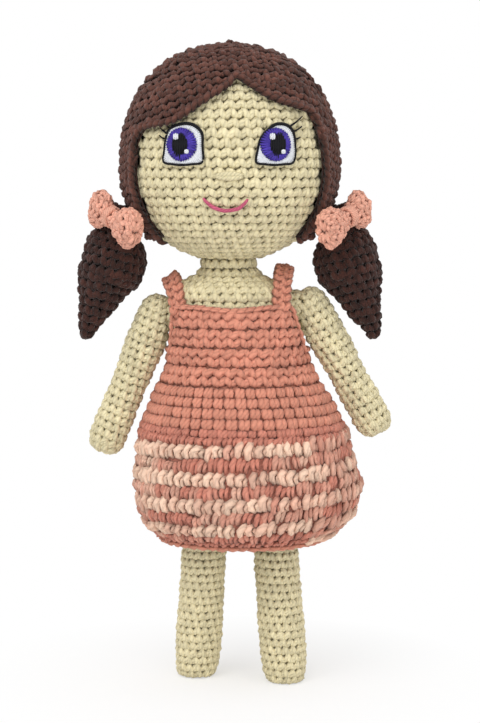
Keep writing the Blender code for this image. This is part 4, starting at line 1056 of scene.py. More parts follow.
@dataclass
class Eye:
    """An eye sewn on the face: an outline, satin stitches, an iris, a pupil, glints and lashes.

    Its tables are shares of the eye's width and height from its middle.
    """

    side: str
    mirror: int
    head: Head
    border: tuple[tuple[float, float], ...]
    pupil: tuple[float, float]
    lashes: tuple[tuple[tuple[float, float], tuple[float, float], float], ...]
    width: float = 0.0204
    tall: float = 0.0196
    rise: float = 0.0114
    out: float = 0.0219
    iris: tuple[float, float] = (-0.02, 0.0)
    iris_size: tuple[float, float] = (0.0148, 0.0152)
    pupil_size: tuple[float, float] = (0.0076, 0.0088)
    outline_lift: float = 0.0014
    white_lift: float = 0.0011
    iris_lift: float = 0.0016
    pupil_lift: float = 0.0020
    glint_lift: float = 0.0026
    lash_lift: float = 0.0011
    satin_width: float = 0.0011
    glints: tuple[tuple[float, float, float], ...] = ((-0.125, 0.18, 0.0013), (0.135, -0.17, 0.0009))

    def flat(self, share: np.ndarray) -> np.ndarray:
        """Lengths across the face and heights, from shares of the eye."""
        share = np.asarray(share, float)
        return np.stack([self.mirror * self.out + share[..., 0] * self.width,
                         self.head.z + self.rise + share[..., 1] * self.tall], axis=-1)

    def place(self, flat: np.ndarray, lift: np.ndarray) -> np.ndarray:
        """Places above the face."""
        return self.head.on_face(flat[..., 0], flat[..., 1], lift)

    def oval(self, middle: tuple[float, float], size: tuple[float, float], count: int) -> np.ndarray:
        """An oval's border as lengths across and heights."""
        turns = full_turn(count)
        return self.flat(middle) + 0.5 * np.stack([size[0] * np.cos(turns), size[1] * np.sin(turns)], axis=1)

    def strands(self, starts: np.ndarray, ends: np.ndarray, width: float, lift: float) -> Spots:
        """Straight strands on the face between pairs of places."""
        one, two = self.place(starts, lift), self.place(ends, lift)
        middle = 0.5 * (starts + ends)
        outs = self.head.out_at(middle[:, 0], middle[:, 1])
        length = np.linalg.norm(two - one, axis=1)
        sizes = np.stack([length * 1.04, np.full(len(length), width), np.full(len(length), width)], axis=1)
        return Spots(self.place(middle, lift), unit(two - one), outs, sizes, np.zeros(len(length)))

    def pad(self, name: str, border: np.ndarray, low: float, high: float) -> bpy.types.Object:
        """A low pad of thread on the face that the strands lie on."""
        middle = border.mean(0)
        layers = ((0.35, high), (0.7, high), (0.93, high), (1.0, 0.5 * (low + high)), (0.97, low), (0.5, low))
        rings = np.array([self.place(middle + (border - middle) * s, h) for s, h in layers])
        return closed_tube(name, rings)

    def build(self) -> None:
        """Makes every piece of the eye."""
        name = self.side + "_eye"
        border = self.flat(smooth_loop(np.array(self.border), 64))
        middle = self.flat(self.iris)
        inner = middle + (border - middle) * 0.94
        line = middle + (border - middle) * 0.965
        upper = np.clip((line[:, 1] - middle[1]) / (0.5 * self.tall), -0.2, 1.0)
        outline = thread(name + "_outline_cord", self.place(line, self.outline_lift),
                         0.00062 + 0.00026 * upper, closed=True, pitch=0.0030)
        dress_piece(outline, "head", BLACK, (name + "_outline",))

        rims = np.arctan2(inner[:, 1] - middle[1], inner[:, 0] - middle[0])
        half = 0.5 * np.array(self.iris_size)
        edge = middle + np.stack([half[0] * np.cos(rims), half[1] * np.sin(rims)], axis=1)
        dress_piece(self.pad(name + "_white_pad", inner, -0.0002, 0.0010), "head", WHITE, (name + "_white",))
        satin = self.strands(edge, middle + (inner - middle) * 0.97, 0.00105, self.white_lift)
        work(name + "_white_satin", Stitch.STRAND, satin, WHITE, "head", sway=0.03)

        around = self.oval(self.iris, self.iris_size, 36)
        seen = self.oval(self.pupil, self.pupil_size, 36)
        dress_piece(self.pad(name + "_iris_pad", around, 0.0002, 0.0014), "head", VIOLET, (name + "_iris",))
        ring = self.strands(seen, middle + (around - middle) * 0.95, 0.0015, self.iris_lift)
        work(name + "_iris_ring", Stitch.STRAND, ring, VIOLET, "head", sway=0.04)

        dress_piece(self.pad(name + "_pupil_pad", seen, 0.0006, 0.0019), "head", BLACK, (name + "_pupil",))
        columns = np.linspace(-0.88, 0.88, 9)
        tall = np.sqrt(1 - columns**2) * 0.5 * self.pupil_size[1]
        base = self.flat(self.pupil)
        across = columns * 0.5 * self.pupil_size[0]
        feet, tops = (base + np.stack([across, height], axis=1) for height in (-tall, tall))
        satin = self.strands(feet, tops, self.satin_width, self.pupil_lift)
        work(name + "_pupil_satin", Stitch.STRAND, satin, BLACK, "head", sway=0.04)

        for word, (across, height, radius) in zip(("upper", "lower"), self.glints):
            spot = self.flat((across, height))
            shift = np.linspace(-0.62, 0.62, 3) * radius
            reach = 0.9 * np.sqrt(radius**2 - shift**2)
            one, two = (spot + np.stack([shift, sign * reach], axis=1) for sign in (-1, 1))
            satin = self.strands(one, two, self.satin_width, self.glint_lift)
            label = f"{name}_{word}_glint"
            work(label + "_satin", Stitch.STRAND, satin, WHITE, "head", (label,), sway=0.02)

        for word, (start, way, share) in zip(("upper", "middle", "lower"), self.lashes):
            steps = np.linspace(-0.0008, 0.0064 * share, 9)
            bend = 0.0006 * (steps / steps[-1]) ** 2
            way = unit(way)
            flat = self.flat(start) + np.outer(steps, way) + np.outer(bend, (0.0, 1.0))
            radii = 0.00048 * np.linspace(1.15, 0.55, 9)
            lash = thread(f"{name}_{word}_lash_thread", self.place(flat, self.lash_lift), radii, sides=6)
            dress_piece(lash, "head", BLACK, (f"{name}_{word}_lash",))


RIGHT_EYE = dict(
    border=((-0.50, -0.43), (-0.46, -0.12), (-0.38, 0.16), (-0.19, 0.38), (0.01, 0.50), (0.28, 0.47),
            (0.45, 0.29), (0.50, -0.02), (0.50, -0.27), (0.42, -0.45), (0.20, -0.48), (-0.05, -0.50),
            (-0.30, -0.48)),
    pupil=(0.02, 0.0),
    lashes=(((0.36, 0.44), (0.88, 0.48), 1.35), ((0.47, 0.32), (0.93, 0.36), 0.80),
            ((0.52, 0.14), (0.98, 0.14), 0.42)))
LEFT_EYE = dict(
    border=((-0.50, -0.42), (-0.48, -0.15), (-0.44, 0.12), (-0.33, 0.38), (-0.02, 0.50), (0.27, 0.48),
            (0.48, 0.28), (0.50, -0.05), (0.50, -0.42), (0.25, -0.48), (0.01, -0.50), (-0.25, -0.48)),
    pupil=(-0.04, -0.01),
    lashes=(((-0.36, 0.42), (-0.72, 0.69), 0.50), ((-0.46, 0.30), (-0.88, 0.46), 0.55),
            ((-0.52, 0.16), (-0.93, 0.36), 0.36)))


@dataclass
class Features:
    """The nose, a thick stitch of skin yarn, and the mouth, a bowed strand."""

    head: Head
    nose_length: float = 0.0120
    nose_drop: float = 0.0032
    mouth: tuple[tuple[float, float], ...] = (
        (-0.0120, 0.2432), (-0.0102, 0.2412), (-0.0070, 0.2388), (-0.0018, 0.2374), (0.0036, 0.2382),
        (0.0066, 0.2404), (0.0084, 0.2428))

    def build(self) -> None:
        """Makes both."""
        shares = np.linspace(-0.5, 0.5, 14)
        plump = np.sqrt(np.clip(1 - (shares / 0.52) ** 2, 0, 1))
        for row, height in enumerate((0.00085, -0.00085)):
            heights = self.head.z - self.nose_drop + height * plump
            places = self.head.on_face(shares * self.nose_length, heights, 0.0002 + 0.0010 * plump)
            strand = thread(f"nose_strand_{row + 1}", places, 0.0005 + 0.0008 * plump, pitch=0.0036)
            dress_piece(strand, "head", SKIN, ("nose",))
        line = smooth_line(np.array(self.mouth), 40)
        steps = np.linspace(-1, 1, 40)
        radii = 0.00092 * np.sqrt(np.clip(1 - 0.75 * steps**6, 0.1, 1))
        lip = thread("mouth_strand", self.head.on_face(line[:, 0], line[:, 1], 0.0011), radii, pitch=0.0040)
        dress_piece(lip, "head", ROSE, ("mouth",))


# Bunches and bows


@dataclass
class Bunch:
    """A stuffed bunch of hair, and the bow that is tied on its root."""

    side: str
    mirror: int
    root: tuple[float, float, float]
    root_radius: float = 0.0056
    reach: tuple[float, float, float] = (0.0150, -0.0030, -0.0585)
    radius: float = 0.0164
    sway: float = 0.0031
    stations: tuple[tuple[float, float, float], ...] = (
        (0.06, 0.44, 0.20), (0.16, 0.70, 0.62), (0.27, 0.93, 1.05), (0.38, 1.01, 1.25), (0.50, 1.01, 1.15),
        (0.60, 0.88, 0.80), (0.70, 0.71, 0.48), (0.80, 0.56, 0.22), (0.90, 0.43, 0.05), (0.97, 0.30, -0.20))
    gauge: Gauge = Gauge(0.0052, 0.0046, thick=0.0038, lift=-0.0024, shift=0.2)
    bow_gauge: Gauge = Gauge(0.0040, 0.0036, thick=0.0036, lift=-0.0016, shift=0.5)
    lobe_length: float = 0.0210
    bow_height: float = 0.0190
    bow_thick: float = 0.0110
    outer_share: float = 0.68
    waist: float = 0.0034
    lobe: tuple[tuple[float, float], ...] = (
        (0.16, 0.06), (0.38, 0.56), (0.60, 0.94), (0.78, 1.0), (0.90, 0.90), (0.96, 0.70), (0.99, 0.42),
        (1.003, 0.02), (1.008, -0.42))

    def build(self) -> None:
        """Makes the bunch, then the bow."""
        body = self.side + "_bunch"
        root = np.array(self.root)
        tip = root + np.array((self.mirror * self.reach[0], self.reach[1], self.reach[2]))
        length = float(np.linalg.norm(tip - root))
        stations = [(-step, radius) for step, radius in dome(self.root_radius, (8, 30, 62))]
        inward = -self.mirror * self.sway
        stations += [(length * s, self.radius * w, inward * b) for s, w, b in self.stations]
        stations += [(length + self.radius * s, self.radius * w, -0.2 * inward)
                     for s, w in ((0.18, 0.19), (0.27, 0.04))]
        surface = straight_hoops(root, tip, stations)
        ground = stuffed(body + "_cloth", surface, 0.001, surface.length - 0.001, (36, 40), lift=-0.0030)
        dress_piece(ground, body, DARK, (body, body + "_stuffing"))
        spots = self.gauge.rows(surface, 0.0015, surface.length - 0.0008)
        work(body + "_stitches", Stitch.SINGLE, spots, DARK, body, unevenness=0.14, sway=0.24,
             seed=21 + self.mirror)
        self.bow(root, body)

    def bow(self, root: np.ndarray, body: str) -> None:
        """Makes the bow and the yarn wound round its waist."""
        name = self.side + "_bow"
        waist = root + np.array((self.mirror * 0.0020, -0.0190, -0.0015))
        along = unit((-self.mirror * 0.58, -0.74, -0.34))
        height = unit(UPWARD - along * along[2])
        across = np.cross(height, along)
        rows = [(-self.outer_share * s, w) for s, w in reversed(self.lobe)] + [(0.0, 0.0)] + list(self.lobe)
        steps, shares = np.array(rows).T
        surface = even_hoops(waist + np.outer(steps * self.lobe_length, along), across, height,
                             self.waist + (self.bow_thick / 2 - self.waist) * shares,
                             self.waist + (self.bow_height / 2 - self.waist) * shares)
        ground = stuffed(name + "_cloth", surface, 0.0, surface.length, (32, 36), lift=-0.0018)
        dress_piece(ground, body, PINK, (name,))
        spots = self.bow_gauge.rows(surface, 0.0, surface.length)
        work(name + "_stitches", Stitch.SINGLE, spots, PINK, body, unevenness=0.2, sway=0.34,
             seed=31 + self.mirror)
        turns = np.linspace(0, 2 * math.pi * 3, 96)
        wound = (waist + np.outer(np.linspace(-0.0017, 0.0017, 96), along)
                 + 0.0044 * (np.outer(np.cos(turns), height) + np.outer(np.sin(turns), across)))
        dress_piece(thread(name + "_tie", wound, 0.0011, pitch=0.0030), body, PINK, (name + "_band",))


# Body and limbs


@dataclass
class Torso:
    """The stuffed torso with its neck."""

    base: float = 0.0795
    height: float = 0.1330
    top: float = 0.2125
    half_width: float = 0.0345
    half_depth: float = 0.0265
    drift: float = 0.0045
    neck: float = 0.0137
    shown_above: float = 0.163
    shown_below: float = 0.100
    gauge: Gauge = Gauge(0.0049, 0.0044, thick=0.0040, shift=0.2, overlap=1.2)
    shares: tuple[tuple[float, float, float, float], ...] = (
        (0.974, 0.400, 0.515, -1.04), (0.950, 0.452, 0.577, -1.00), (0.930, 0.565, 0.660, -1.00),
        (0.913, 0.716, 0.724, -0.98), (0.895, 0.842, 0.781, -0.90), (0.866, 0.910, 0.834, -0.78),
        (0.816, 0.912, 0.876, -0.54), (0.718, 0.912, 0.915, -0.14), (0.605, 0.922, 0.950, 0.0),
        (0.455, 0.968, 0.980, 0.27), (0.305, 1.0, 1.0, 0.49), (0.154, 0.971, 0.980, 0.53),
        (0.079, 0.870, 0.905, 0.49), (0.034, 0.700, 0.760, 0.40), (0.008, 0.420, 0.470, 0.30),
        (0.0, 0.06, 0.07, 0.30))

    def build(self, dress: "Dress") -> None:
        """Makes the ground and the rows above the dress and under it."""
        rows = [(MIDDLE_X - 1.04 * self.drift, 0.0, self.top, self.neck, self.neck)]
        rows += [(MIDDLE_X + d * self.drift, 0.0, self.base + h * self.height, w * self.half_width,
                  p * self.half_depth) for h, w, p, d in self.shares]
        surface = level_hoops(rows)
        ground = stuffed("torso_cloth", surface, 0.0, surface.length, (48, 60))
        dress_piece(ground, "torso", SKIN, ("torso", "torso_stuffing"))

        def shown(arcs: np.ndarray, turns: np.ndarray) -> np.ndarray:
            """Which stitches the dress leaves open."""
            heights = surface.point(arcs, turns)[:, 2]
            return (heights > self.shown_above) | (heights < self.shown_below)

        spots = self.gauge.rows(surface, 0.0, surface.length - 0.001, shown)
        turns = np.arctan2(spots.places[:, 0] - MIDDLE_X, -spots.places[:, 1])
        heights = spots.places[:, 2]
        spots.sizes[(heights > self.shown_below) & (heights < dress.edge_height(turns) + 0.003), 2] *= 0.7
        work("torso_stitches", Stitch.SINGLE, spots, SKIN, "torso", seed=41)


@dataclass
class Limb:
    """A stuffed arm or leg: a tube of stitches closed at its end."""

    body: str
    surface: Hoops
    gauge: Gauge
    cut_x: float | None = None
    mirror: int = 1
    floor: float | None = None

    def build(self) -> None:
        """Makes the ground and the rows."""
        def mended(rings: np.ndarray) -> np.ndarray:
            """The ground, held off the torso's side and the floor."""
            rings = rings.copy()
            if self.cut_x is not None:
                side = rings[..., 0] * self.mirror
                rings[..., 0] = np.maximum(side, self.cut_x * self.mirror - 0.0016) * self.mirror
            if self.floor is not None:
                rings[..., 2] = np.maximum(rings[..., 2], self.floor)
            return rings

        ground = stuffed(self.body + "_cloth", self.surface, 0.0003, self.surface.length - 0.0003,
                         (32, 48), lift=self.gauge.lift - 0.0004, mend=mended)
        dress_piece(ground, self.body, SKIN, (self.body, self.body + "_stuffing"))
        spots = self.gauge.rows(self.surface, 0.0006, self.surface.length - 0.0004)
        if self.cut_x is not None:
            spots = spots.kept(spots.places[:, 0] * self.mirror > self.cut_x * self.mirror + 0.0002)
        if self.floor is not None:
            low = spots.places[:, 2] < 0.0030
            spots.places[low, 2] = np.maximum(spots.places[low, 2], 0.0021)
            spots.sizes[low, 2] *= 0.85
        seed = 50 + sum(map(ord, self.body)) % 40
        piece = crochet(self.body + "_stitches", Stitch.SINGLE, spots, SKIN, unevenness=0.1, sway=0.16,
                        seed=seed)
        if self.floor is not None:
            for vertex in piece.data.vertices:
                vertex.co.z = max(vertex.co.z, 0.5 * self.floor)
        dress_piece(piece, self.body, SKIN)

    def sew(self, height: float) -> None:
        """Makes the rows that fasten an arm to the torso, round the line that it swings about."""
        inner, outer = (np.array((self.cut_x + self.mirror * step, 0.0, height)) for step in (-0.0075, 0.0))
        surface = straight_hoops(outer, inner, [(-0.0004, 0.0030), (-0.0001, 0.0066), (0.0010, 0.0082),
                                                (0.0035, 0.0084), (0.0075, 0.0070)])
        name = self.body + "_sewing"
        ground = stuffed(name + "_cloth", surface, 0.0003, surface.length, (28, 16), lift=-0.0020)
        dress_piece(ground, "torso", SKIN)
        spots = self.gauge.rows(surface, 0.0040, surface.length)
        work(name + "_stitches", Stitch.SINGLE, spots, SKIN, "torso", unevenness=0.1, sway=0.16, seed=91)


def arm_surface(start: tuple[float, ...], end: tuple[float, ...]) -> Hoops:
    """An arm from its shoulder to its hand."""
    radius = 0.0097
    length = float(np.linalg.norm(np.array(end) - np.array(start)))
    stations = [(-step, wide) for step, wide in dome(radius, (6, 30, 60))]
    stations += [(length * s, radius * w) for s, w in (
        (0.0, 1.0), (0.24, 1.05), (0.46, 0.98), (0.64, 0.93), (0.82, 0.98), (1.0, 0.98))]
    stations += [(length + step, wide) for step, wide in dome(radius, (60, 30, 6), 0.8)]
    return straight_hoops(np.array(start), np.array(end), stations)


def leg_surface(hip: float, steps: tuple[float, float]) -> Hoops:
    """A leg from its hip to its sole."""
    radius, high = 0.0110, 0.0780
    rows = [(hip, 0.0, high + step, wide, wide) for step, wide in dome(radius, (6, 28, 45, 68, 90))]
    rows += [(hip + steps[0] * (1 - h), steps[1] * (1 - h), high * h, radius * w, radius * w) for h, w in (
        (0.81, 0.99), (0.55, 1.0), (0.33, 1.035), (0.18, 1.02), (0.10, 0.97), (0.055, 0.93), (0.020, 0.85),
        (0.0, 0.74), (-0.0004, 0.40), (-0.0006, 0.05))]
    return level_hoops(rows)


# Dress


@dataclass
class Dress:
    """The dress: a bodice of ridged rows and blocks, a skirt of slanted rows, a hem and straps."""

    half_width: float = 0.034964
    half_depth: float = 0.02788
    flare: float = 0.0222
    flare_deep: float = 0.0213
    top: float = 0.1920
    hem: float = 0.0715
    drift: float = 0.0050
    bodice_end: float = 0.1318
    neckline: float = 0.1885
    underarm_drop: float = 0.0205
    ridges: tuple[float, ...] = (0.1886, 0.1792, 0.1700, 0.1608, 0.1520)
    thick: float = 0.0044
    sunk: float = -0.0019
    row_tall: float = 0.0068
    row_stitches: int = 66
    hem_tall: float = 0.0034
    strap_share: float = 0.912
    shares: tuple[tuple[float, float, float], ...] = (
        (1.0, 0.010, -0.62), (0.920, 0.005, -0.36), (0.834, 0.010, -0.12), (0.768, 0.030, -0.02),
        (0.718, 0.099, 0.10), (0.668, 0.234, 0.16), (0.618, 0.398, 0.20), (0.568, 0.537, 0.36),
        (0.518, 0.653, 0.40), (0.466, 0.758, 0.46), (0.414, 0.836, 0.56), (0.338, 0.905, 0.76),
        (0.288, 0.970, 0.84), (0.237, 1.0, 0.94), (0.187, 0.966, 1.0), (0.136, 0.909, 0.92),
        (0.085, 0.775, 0.84), (0.060, 0.655, 0.76), (0.034, 0.505, 0.66), (0.014, 0.335, 0.50),
        (0.0, 0.190, 0.42))
    armholes: tuple[tuple[float, float], ...] = (
        (0, 0.0), (28, -0.08), (56, -0.08), (72, 1.0), (108, 1.0), (124, -0.08), (152, -0.08), (180, 0.0))

    def __post_init__(self) -> None:
        """Keeps the dress's own surface at hand."""
        self.surface = level_hoops([
            (MIDDLE_X + d * self.drift, 0.0, self.hem + h * (self.top - self.hem),
             self.half_width + f * self.flare, self.half_depth + f * self.flare_deep)
            for h, f, d in self.shares])

    def edge_height(self, turns: np.ndarray) -> np.ndarray:
        """The height of the bodice's upper edge at turns."""
        table = np.array(self.armholes)
        degrees = np.abs((np.degrees(turns) + 180) % 360 - 180)
        return self.neckline - self.underarm_drop * np.interp(degrees, table[:, 0], table[:, 1])

    def arc(self, height: np.ndarray) -> np.ndarray:
        """Arc lengths at heights."""
        return np.interp(-np.asarray(height, float), -self.surface.middles[:, 2], self.surface.arcs)

    def build(self) -> None:
        """Makes the bodice, the skirt with its hem, and the straps."""
        self.bodice()
        self.skirt()
        self.strap("left", -1, 52, (0.0023, 0.0144))
        self.strap("right", 1, 44, (-0.0081, 0.0193))

    def bodice(self) -> None:
        """Four bands, each of two knotted rows between dark grooves, then rows of blocks."""
        turns = full_turn(120)
        starts, end = self.arc(self.edge_height(turns)), float(self.arc(self.bodice_end))
        ground = walled("bodice_cloth", self.surface, starts, np.full(120, end), turns, 24)
        dress_piece(ground, "torso", SALMON, ("bodice",))
        parts, phase = {Stitch.PEAK: [], Stitch.SINGLE: []}, 0.0
        for upper, lower in zip(self.ridges, self.ridges[1:]):
            one, two = float(self.arc(upper)), float(self.arc(lower))
            tall = (two - one) / 2
            for row, stitch in enumerate((Stitch.PEAK, Stitch.SINGLE)):
                at = 0.5 * (one + two) + (row - 0.5) * 0.84 * tall
                girth = self.surface.girth(at)
                many = int(round(girth / 0.0056))
                where = full_turn(many, phase + 0.5 * row)
                where = where[at > self.arc(self.edge_height(where)) + 0.3 * tall]
                parts[stitch].append(spots_at(self.surface, np.full(len(where), at), where,
                                              (2 * math.pi / many, tall, self.thick), self.sunk, 1.08))
            phase += 0.27
        pieces = [work("bodice_" + stitch.name.lower(), stitch, Spots.joined(found), SALMON, "torso",
                       unevenness=0.14, sway=0.22, seed=61) for stitch, found in parts.items()]
        start = float(self.arc(self.ridges[-1])) + 0.0006
        girth = self.surface.girth(0.5 * (start + end))
        many = int(round(girth / 0.0053))
        rows, tall = [], (end - start) / 4
        for row in range(4):
            where = full_turn(many, 0.06 * row)
            at = np.full(many, start + (row + 0.5) * tall)
            cell = (2 * math.pi / many, tall, self.thick)
            rows.append(spots_at(self.surface, at, where, cell, self.sunk, 1.02))
        pieces.append(work("bodice_blocks", Stitch.BLOCK, Spots.joined(rows), SALMON, "torso",
                           unevenness=0.09, seed=62))
        rope = self.rope(starts + 0.0006, turns, 0.0042, 0.0030)
        pieces.append(work("bodice_edge", Stitch.ROPE, rope, SALMON, "torso", seed=63))

    def rope(self, arcs: np.ndarray, turns: np.ndarray, spacing: float, width: float) -> Spots:
        """A rope of stitches round the dress, sunk a little into it."""
        outs = self.surface.frames(arcs, turns)[2]
        return along_line(self.surface.lifted(arcs, turns, -0.0006), outs, spacing, width, True)

    def skirt(self) -> None:
        """Rows that climb once in two turns, salmon and peach by turns, down to a thin hem."""
        turns = full_turn(96)
        start, end = float(self.arc(self.bodice_end)), self.surface.length
        hem = end - self.hem_tall
        ground = walled("skirt_cloth", self.surface, np.full(96, start), np.full(96, hem), turns, 44)
        dress_piece(ground, "torso", TWO_TONE, ("skirt",))
        tall, many = self.row_tall, self.row_stitches
        step = 2 * np.pi / many
        found = {Stitch.POST: [], Stitch.PUFF: []}
        for row in range(-2, 16):
            turn = -np.pi + step * (np.arange(many) + 0.5 * (row % 2))
            at = start + (row + 0.5 - turn / np.pi) * tall
            inside = (at > start + 0.85 * tall) & (at < hem - 0.3 * tall)
            turn, at = turn[inside], at[inside]
            if not len(turn):
                continue
            peach = row % 2
            first = at < start + 0.9 * tall
            chance = np.random.default_rng(SEED + 40 + row)
            at = at + 0.07 * tall * chance.normal(size=len(turn))
            turn = turn + 0.12 * step * chance.normal(size=len(turn))
            spots = spots_at(self.surface, at, turn, (step, tall, 0.0050 if peach else self.thick), -0.0022,
                             1.06 if peach else 1.02, lean=0.04 + 0.16 * chance.normal(size=len(turn)))
            drift = np.convolve(chance.normal(size=len(turn) + 4), np.full(5, 0.2), mode="valid")
            right = np.clip((np.sin(turn) - 0.35) / 0.5, 0, 1)
            plain = np.where(peach, 0.86 - 0.26 * right, 0.10 + 0.18 * right)
            tints = plain + 0.42 * drift + 0.16 * chance.normal(size=len(turn))
            spots.tints = np.clip(np.where(first, 0.0, tints), 0, 1)
            found[Stitch.PUFF if peach else Stitch.POST].append(spots)
        bands = ((start + 0.26 * tall, 0.60, self.thick, Stitch.BLOCK),
                 (start + 0.86 * tall, 0.66, self.thick, Stitch.POST),
                 (hem - 0.22 * tall, 0.55, 0.0038, Stitch.POST))
        for at, row_tall, thick, stitch in bands:
            found.setdefault(stitch, []).append(spots_at(
                self.surface, np.full(many, at), step * np.arange(many), (step, tall * row_tall, thick),
                self.sunk, 1.05))
        pieces = [work("skirt_" + stitch.name.lower(), stitch, Spots.joined(spots), TWO_TONE, "torso",
                       unevenness=0.2, sway=0.3, seed=71) for stitch, spots in found.items()]
        base = walled("hem_cloth", self.surface, np.full(96, hem), np.full(96, end), turns, 4, -0.0012)
        dress_piece(base, "torso", SALMON, ("hem",))
        rope = self.rope(np.full(96, 0.5 * (hem + end)), turns, 0.0050, 0.0036)
        pieces += [base, work("hem_chain", Stitch.ROPE, rope, SALMON, "torso", seed=72)]

    def strap(self, side: str, mirror: int, azimuth: float, reach: tuple[float, float]) -> None:
        """A strap over one shoulder, two ropes of stitches wide."""
        turn = mirror * math.radians(azimuth)
        arc = float(self.arc(self.edge_height(np.array(turn))))
        front = self.surface.lifted(arc + 0.0012, turn, -0.0012)
        shoulder = MIDDLE_X + mirror * Torso.half_width * self.strap_share
        crest = np.array((shoulder + mirror * reach[0], 0.0, self.neckline + reach[1]))
        rise = crest - front
        half = [front, front + rise * (0.16, 0.10, 0.34), front + rise * (0.62, 0.46, 0.82), crest]
        line = np.array(half + [p * (1, -1, 1) for p in reversed(half[:-1])])
        line = smooth_line(line, 60)
        ways = unit(np.gradient(line, axis=0))
        middle = np.array((MIDDLE_X + mirror * 0.020, 0.0, self.neckline - 0.004))
        outs = unit(line - middle)
        outs = unit(outs - ways * np.sum(outs * ways, axis=1, keepdims=True))
        across = np.cross(ways, outs)
        turns = full_turn(14)
        rings = (line[:, None] + 0.0038 * across[:, None] * np.cos(turns)[None, :, None]
                 + 0.0008 * outs[:, None] * np.sin(turns)[None, :, None])
        dress_piece(closed_tube(side + "_strap_cloth", rings), "torso", SALMON, (side + "_strap",))
        parts = []
        for face in (1, -1):
            for column in (-1, 1):
                path = line + across * column * 0.0019 + ways * column * 0.0011
                part = along_line(path, outs * face, 0.0040, 0.0043, False)
                part.alongs = np.cross(part.alongs, part.outs)
                part.sizes = part.sizes[:, [1, 0, 2]] * (1.0, 1.08, 0.88)
                parts.append(part)
        work(side + "_strap_stitches", Stitch.SINGLE, Spots.joined(parts), SALMON, "torso", sway=0.2,
             seed=81 + mirror)


# Stage


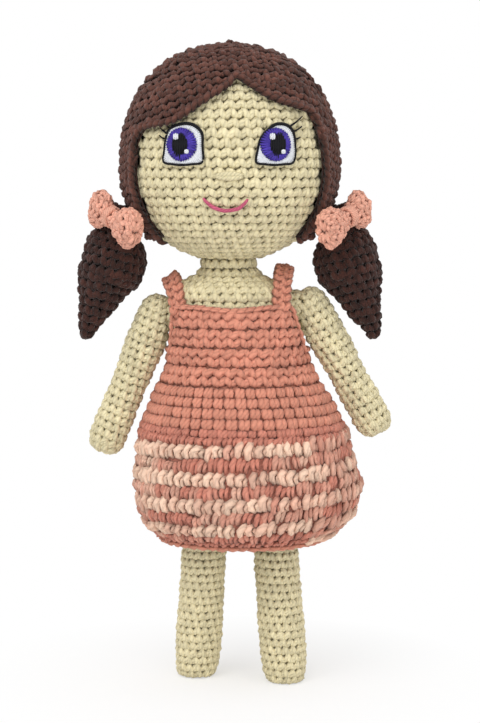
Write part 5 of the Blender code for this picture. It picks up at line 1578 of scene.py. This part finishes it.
@dataclass
class Studio:
    """White surroundings, soft lamps, a floor that keeps the shadow, and the camera."""

    sky: float = 0.78
    floor_radius: float = 3.0
    target: tuple[float, float, float] = (0.0041, 0.0, 0.161)
    eye: tuple[float, float, float] = (0.0041, -0.94563, 0.25205)
    lens: float = 94.6

    def world(self) -> None:
        """White for the camera, softer for the light."""
        world = bpy.data.worlds.new("studio")
        bpy.context.scene.world = world
        world.use_nodes = True
        tree = world.node_tree
        tree.nodes.clear()
        path = tree.nodes.new("ShaderNodeLightPath")
        seen = maths(tree, "MAXIMUM", self._direct(tree, path), path.outputs["Is Transmission Ray"])
        light, white = tree.nodes.new("ShaderNodeBackground"), tree.nodes.new("ShaderNodeBackground")
        set_inputs(light, {"Strength": self.sky, "Color": (1.0, 0.985, 0.96, 1)})
        set_inputs(white, {"Color": (1, 1, 1, 1)})
        out = tree.nodes.new("ShaderNodeOutputWorld")
        self._mix(tree, seen, light.outputs[0], white.outputs[0], out.inputs[0])

    @staticmethod
    def _direct(tree: bpy.types.NodeTree, path: bpy.types.Node) -> bpy.types.NodeSocket:
        """One where the camera or a mirror looks."""
        return maths(tree, "MAXIMUM", path.outputs["Is Camera Ray"], path.outputs["Is Glossy Ray"])

    @staticmethod
    def _mix(tree: bpy.types.NodeTree, share: bpy.types.NodeSocket, one: bpy.types.NodeSocket,
             two: bpy.types.NodeSocket, out: bpy.types.NodeSocket) -> None:
        """Sends two shaders out, the second one by a share."""
        mix = tree.nodes.new("ShaderNodeMixShader")
        for index, socket in enumerate((share, one, two)):
            tree.links.new(socket, mix.inputs[index])
        tree.links.new(mix.outputs[0], out)

    def floor(self) -> None:
        """A matt white floor near the doll that is plain white further out."""
        count = 96
        turns = full_turn(count)
        radius = self.floor_radius
        rim = np.stack([radius * np.cos(turns), radius * np.sin(turns), np.zeros(count)], axis=1)
        points = np.vstack([rim, rim - (0, 0, 0.01)])
        faces = [tuple(range(count)), tuple(count + s for s in reversed(range(count)))]
        faces += [(s, s + count, (s + 1) % count + count, (s + 1) % count) for s in range(count)]
        obj = make_object("floor", points, faces)
        finish = bpy.data.materials.new("white_floor")
        finish.use_nodes = True
        tree = finish.node_tree
        shader, out = tree.nodes["Principled BSDF"], tree.nodes["Material Output"]
        set_inputs(shader, {"Base Color": (0.93, 0.93, 0.93, 1), "Roughness": 1.0, "Specular IOR Level": 0.0})
        place, length = tree.nodes.new("ShaderNodeTexCoord"), tree.nodes.new("ShaderNodeVectorMath")
        length.operation = "LENGTH"
        tree.links.new(place.outputs["Object"], length.inputs[0])
        far = tree.nodes.new("ShaderNodeMapRange")
        set_inputs(far, {"From Min": 0.02, "From Max": 0.14, "To Min": 0.5})
        tree.links.new(length.outputs["Value"], far.inputs["Value"])
        seen = self._direct(tree, tree.nodes.new("ShaderNodeLightPath"))
        share = maths(tree, "MULTIPLY", far.outputs[0], seen)
        white = tree.nodes.new("ShaderNodeEmission")
        self._mix(tree, share, shader.outputs[0], white.outputs[0], out.inputs["Surface"])
        obj.data.materials.append(finish)

    def lamp(self, name: str, place: tuple[float, float, float], size: float, share: float) -> None:
        """A square soft lamp that lights the doll's middle by a share of full white."""
        data = bpy.data.lights.new(name, "AREA")
        data.size = size
        aim = Vector((0.0, 0.0, 0.15)) - Vector(place)
        data.energy = share * math.pi**2 * aim.length**2
        obj = bpy.data.objects.new(name, data)
        obj.location = place
        obj.rotation_euler = aim.to_track_quat("-Z", "Y").to_euler()
        bpy.context.scene.collection.objects.link(obj)

    def camera(self) -> None:
        """The photograph's own view."""
        data = bpy.data.cameras.new("camera")
        data.lens, data.sensor_width, data.sensor_fit = self.lens, 36.0, "AUTO"
        data.clip_start = 0.05
        obj = bpy.data.objects.new("camera", data)
        obj.location = self.eye
        obj.rotation_euler = (Vector(self.target) - Vector(self.eye)).to_track_quat("-Z", "Y").to_euler()
        bpy.context.scene.collection.objects.link(obj)
        bpy.context.scene.camera = obj

    def build(self) -> None:
        """Sets up the whole stage."""
        self.world()
        self.floor()
        self.lamp("key_lamp", (-0.45, -0.9, 1.35), 0.9, 0.42)
        self.lamp("fill_lamp", (0.8, -1.0, 0.35), 1.0, 0.17)
        self.camera()
        bpy.context.scene.view_settings.view_transform = "Standard"


def main() -> None:
    """Builds the doll, part by part, then its stage."""
    logging.basicConfig(level=logging.INFO, format="%(name)s: %(message)s")
    head = Head()
    cap = Cap(head)
    head.build(cap)
    cap.build()
    Eye("left", -1, head, **LEFT_EYE).build()
    Eye("right", 1, head, **RIGHT_EYE).build()
    Features(head).build()
    Bunch("left", -1, (-0.056401, 0.0020, 0.234948)).build()
    Bunch("right", 1, (0.054601, 0.0020, 0.234948)).build()
    dress = Dress()
    Torso().build(dress)
    arm = Gauge(0.00475, 0.00425, thick=0.0037, lift=-0.0022, overlap=1.10)
    leg = Gauge(0.0041, 0.0039, thick=0.0036, lift=-0.0016, shift=0.25, overlap=1.16)
    left = Limb("left_arm", arm_surface((-0.036905, 0, 0.1855), (-0.061905, 0, 0.1240)), arm, -0.0321, -1)
    right = Limb("right_arm", arm_surface((0.039069, 0, 0.1890), (0.069969, 0, 0.1330)), arm, 0.03427, 1)
    for limb, shoulder in ((left, 0.1855), (right, 0.1890)):
        limb.build()
        limb.sew(shoulder)
    Limb("left_leg", leg_surface(-0.0132, (-0.0049, 0.0050)), leg, floor=0.0004).build()
    Limb("right_leg", leg_surface(0.0214, (0.0055, -0.0070)), leg, floor=0.0004).build()
    dress.build()
    Studio().build()
    LOG.info("the doll is done")


if __name__ == "__main__":
    main()
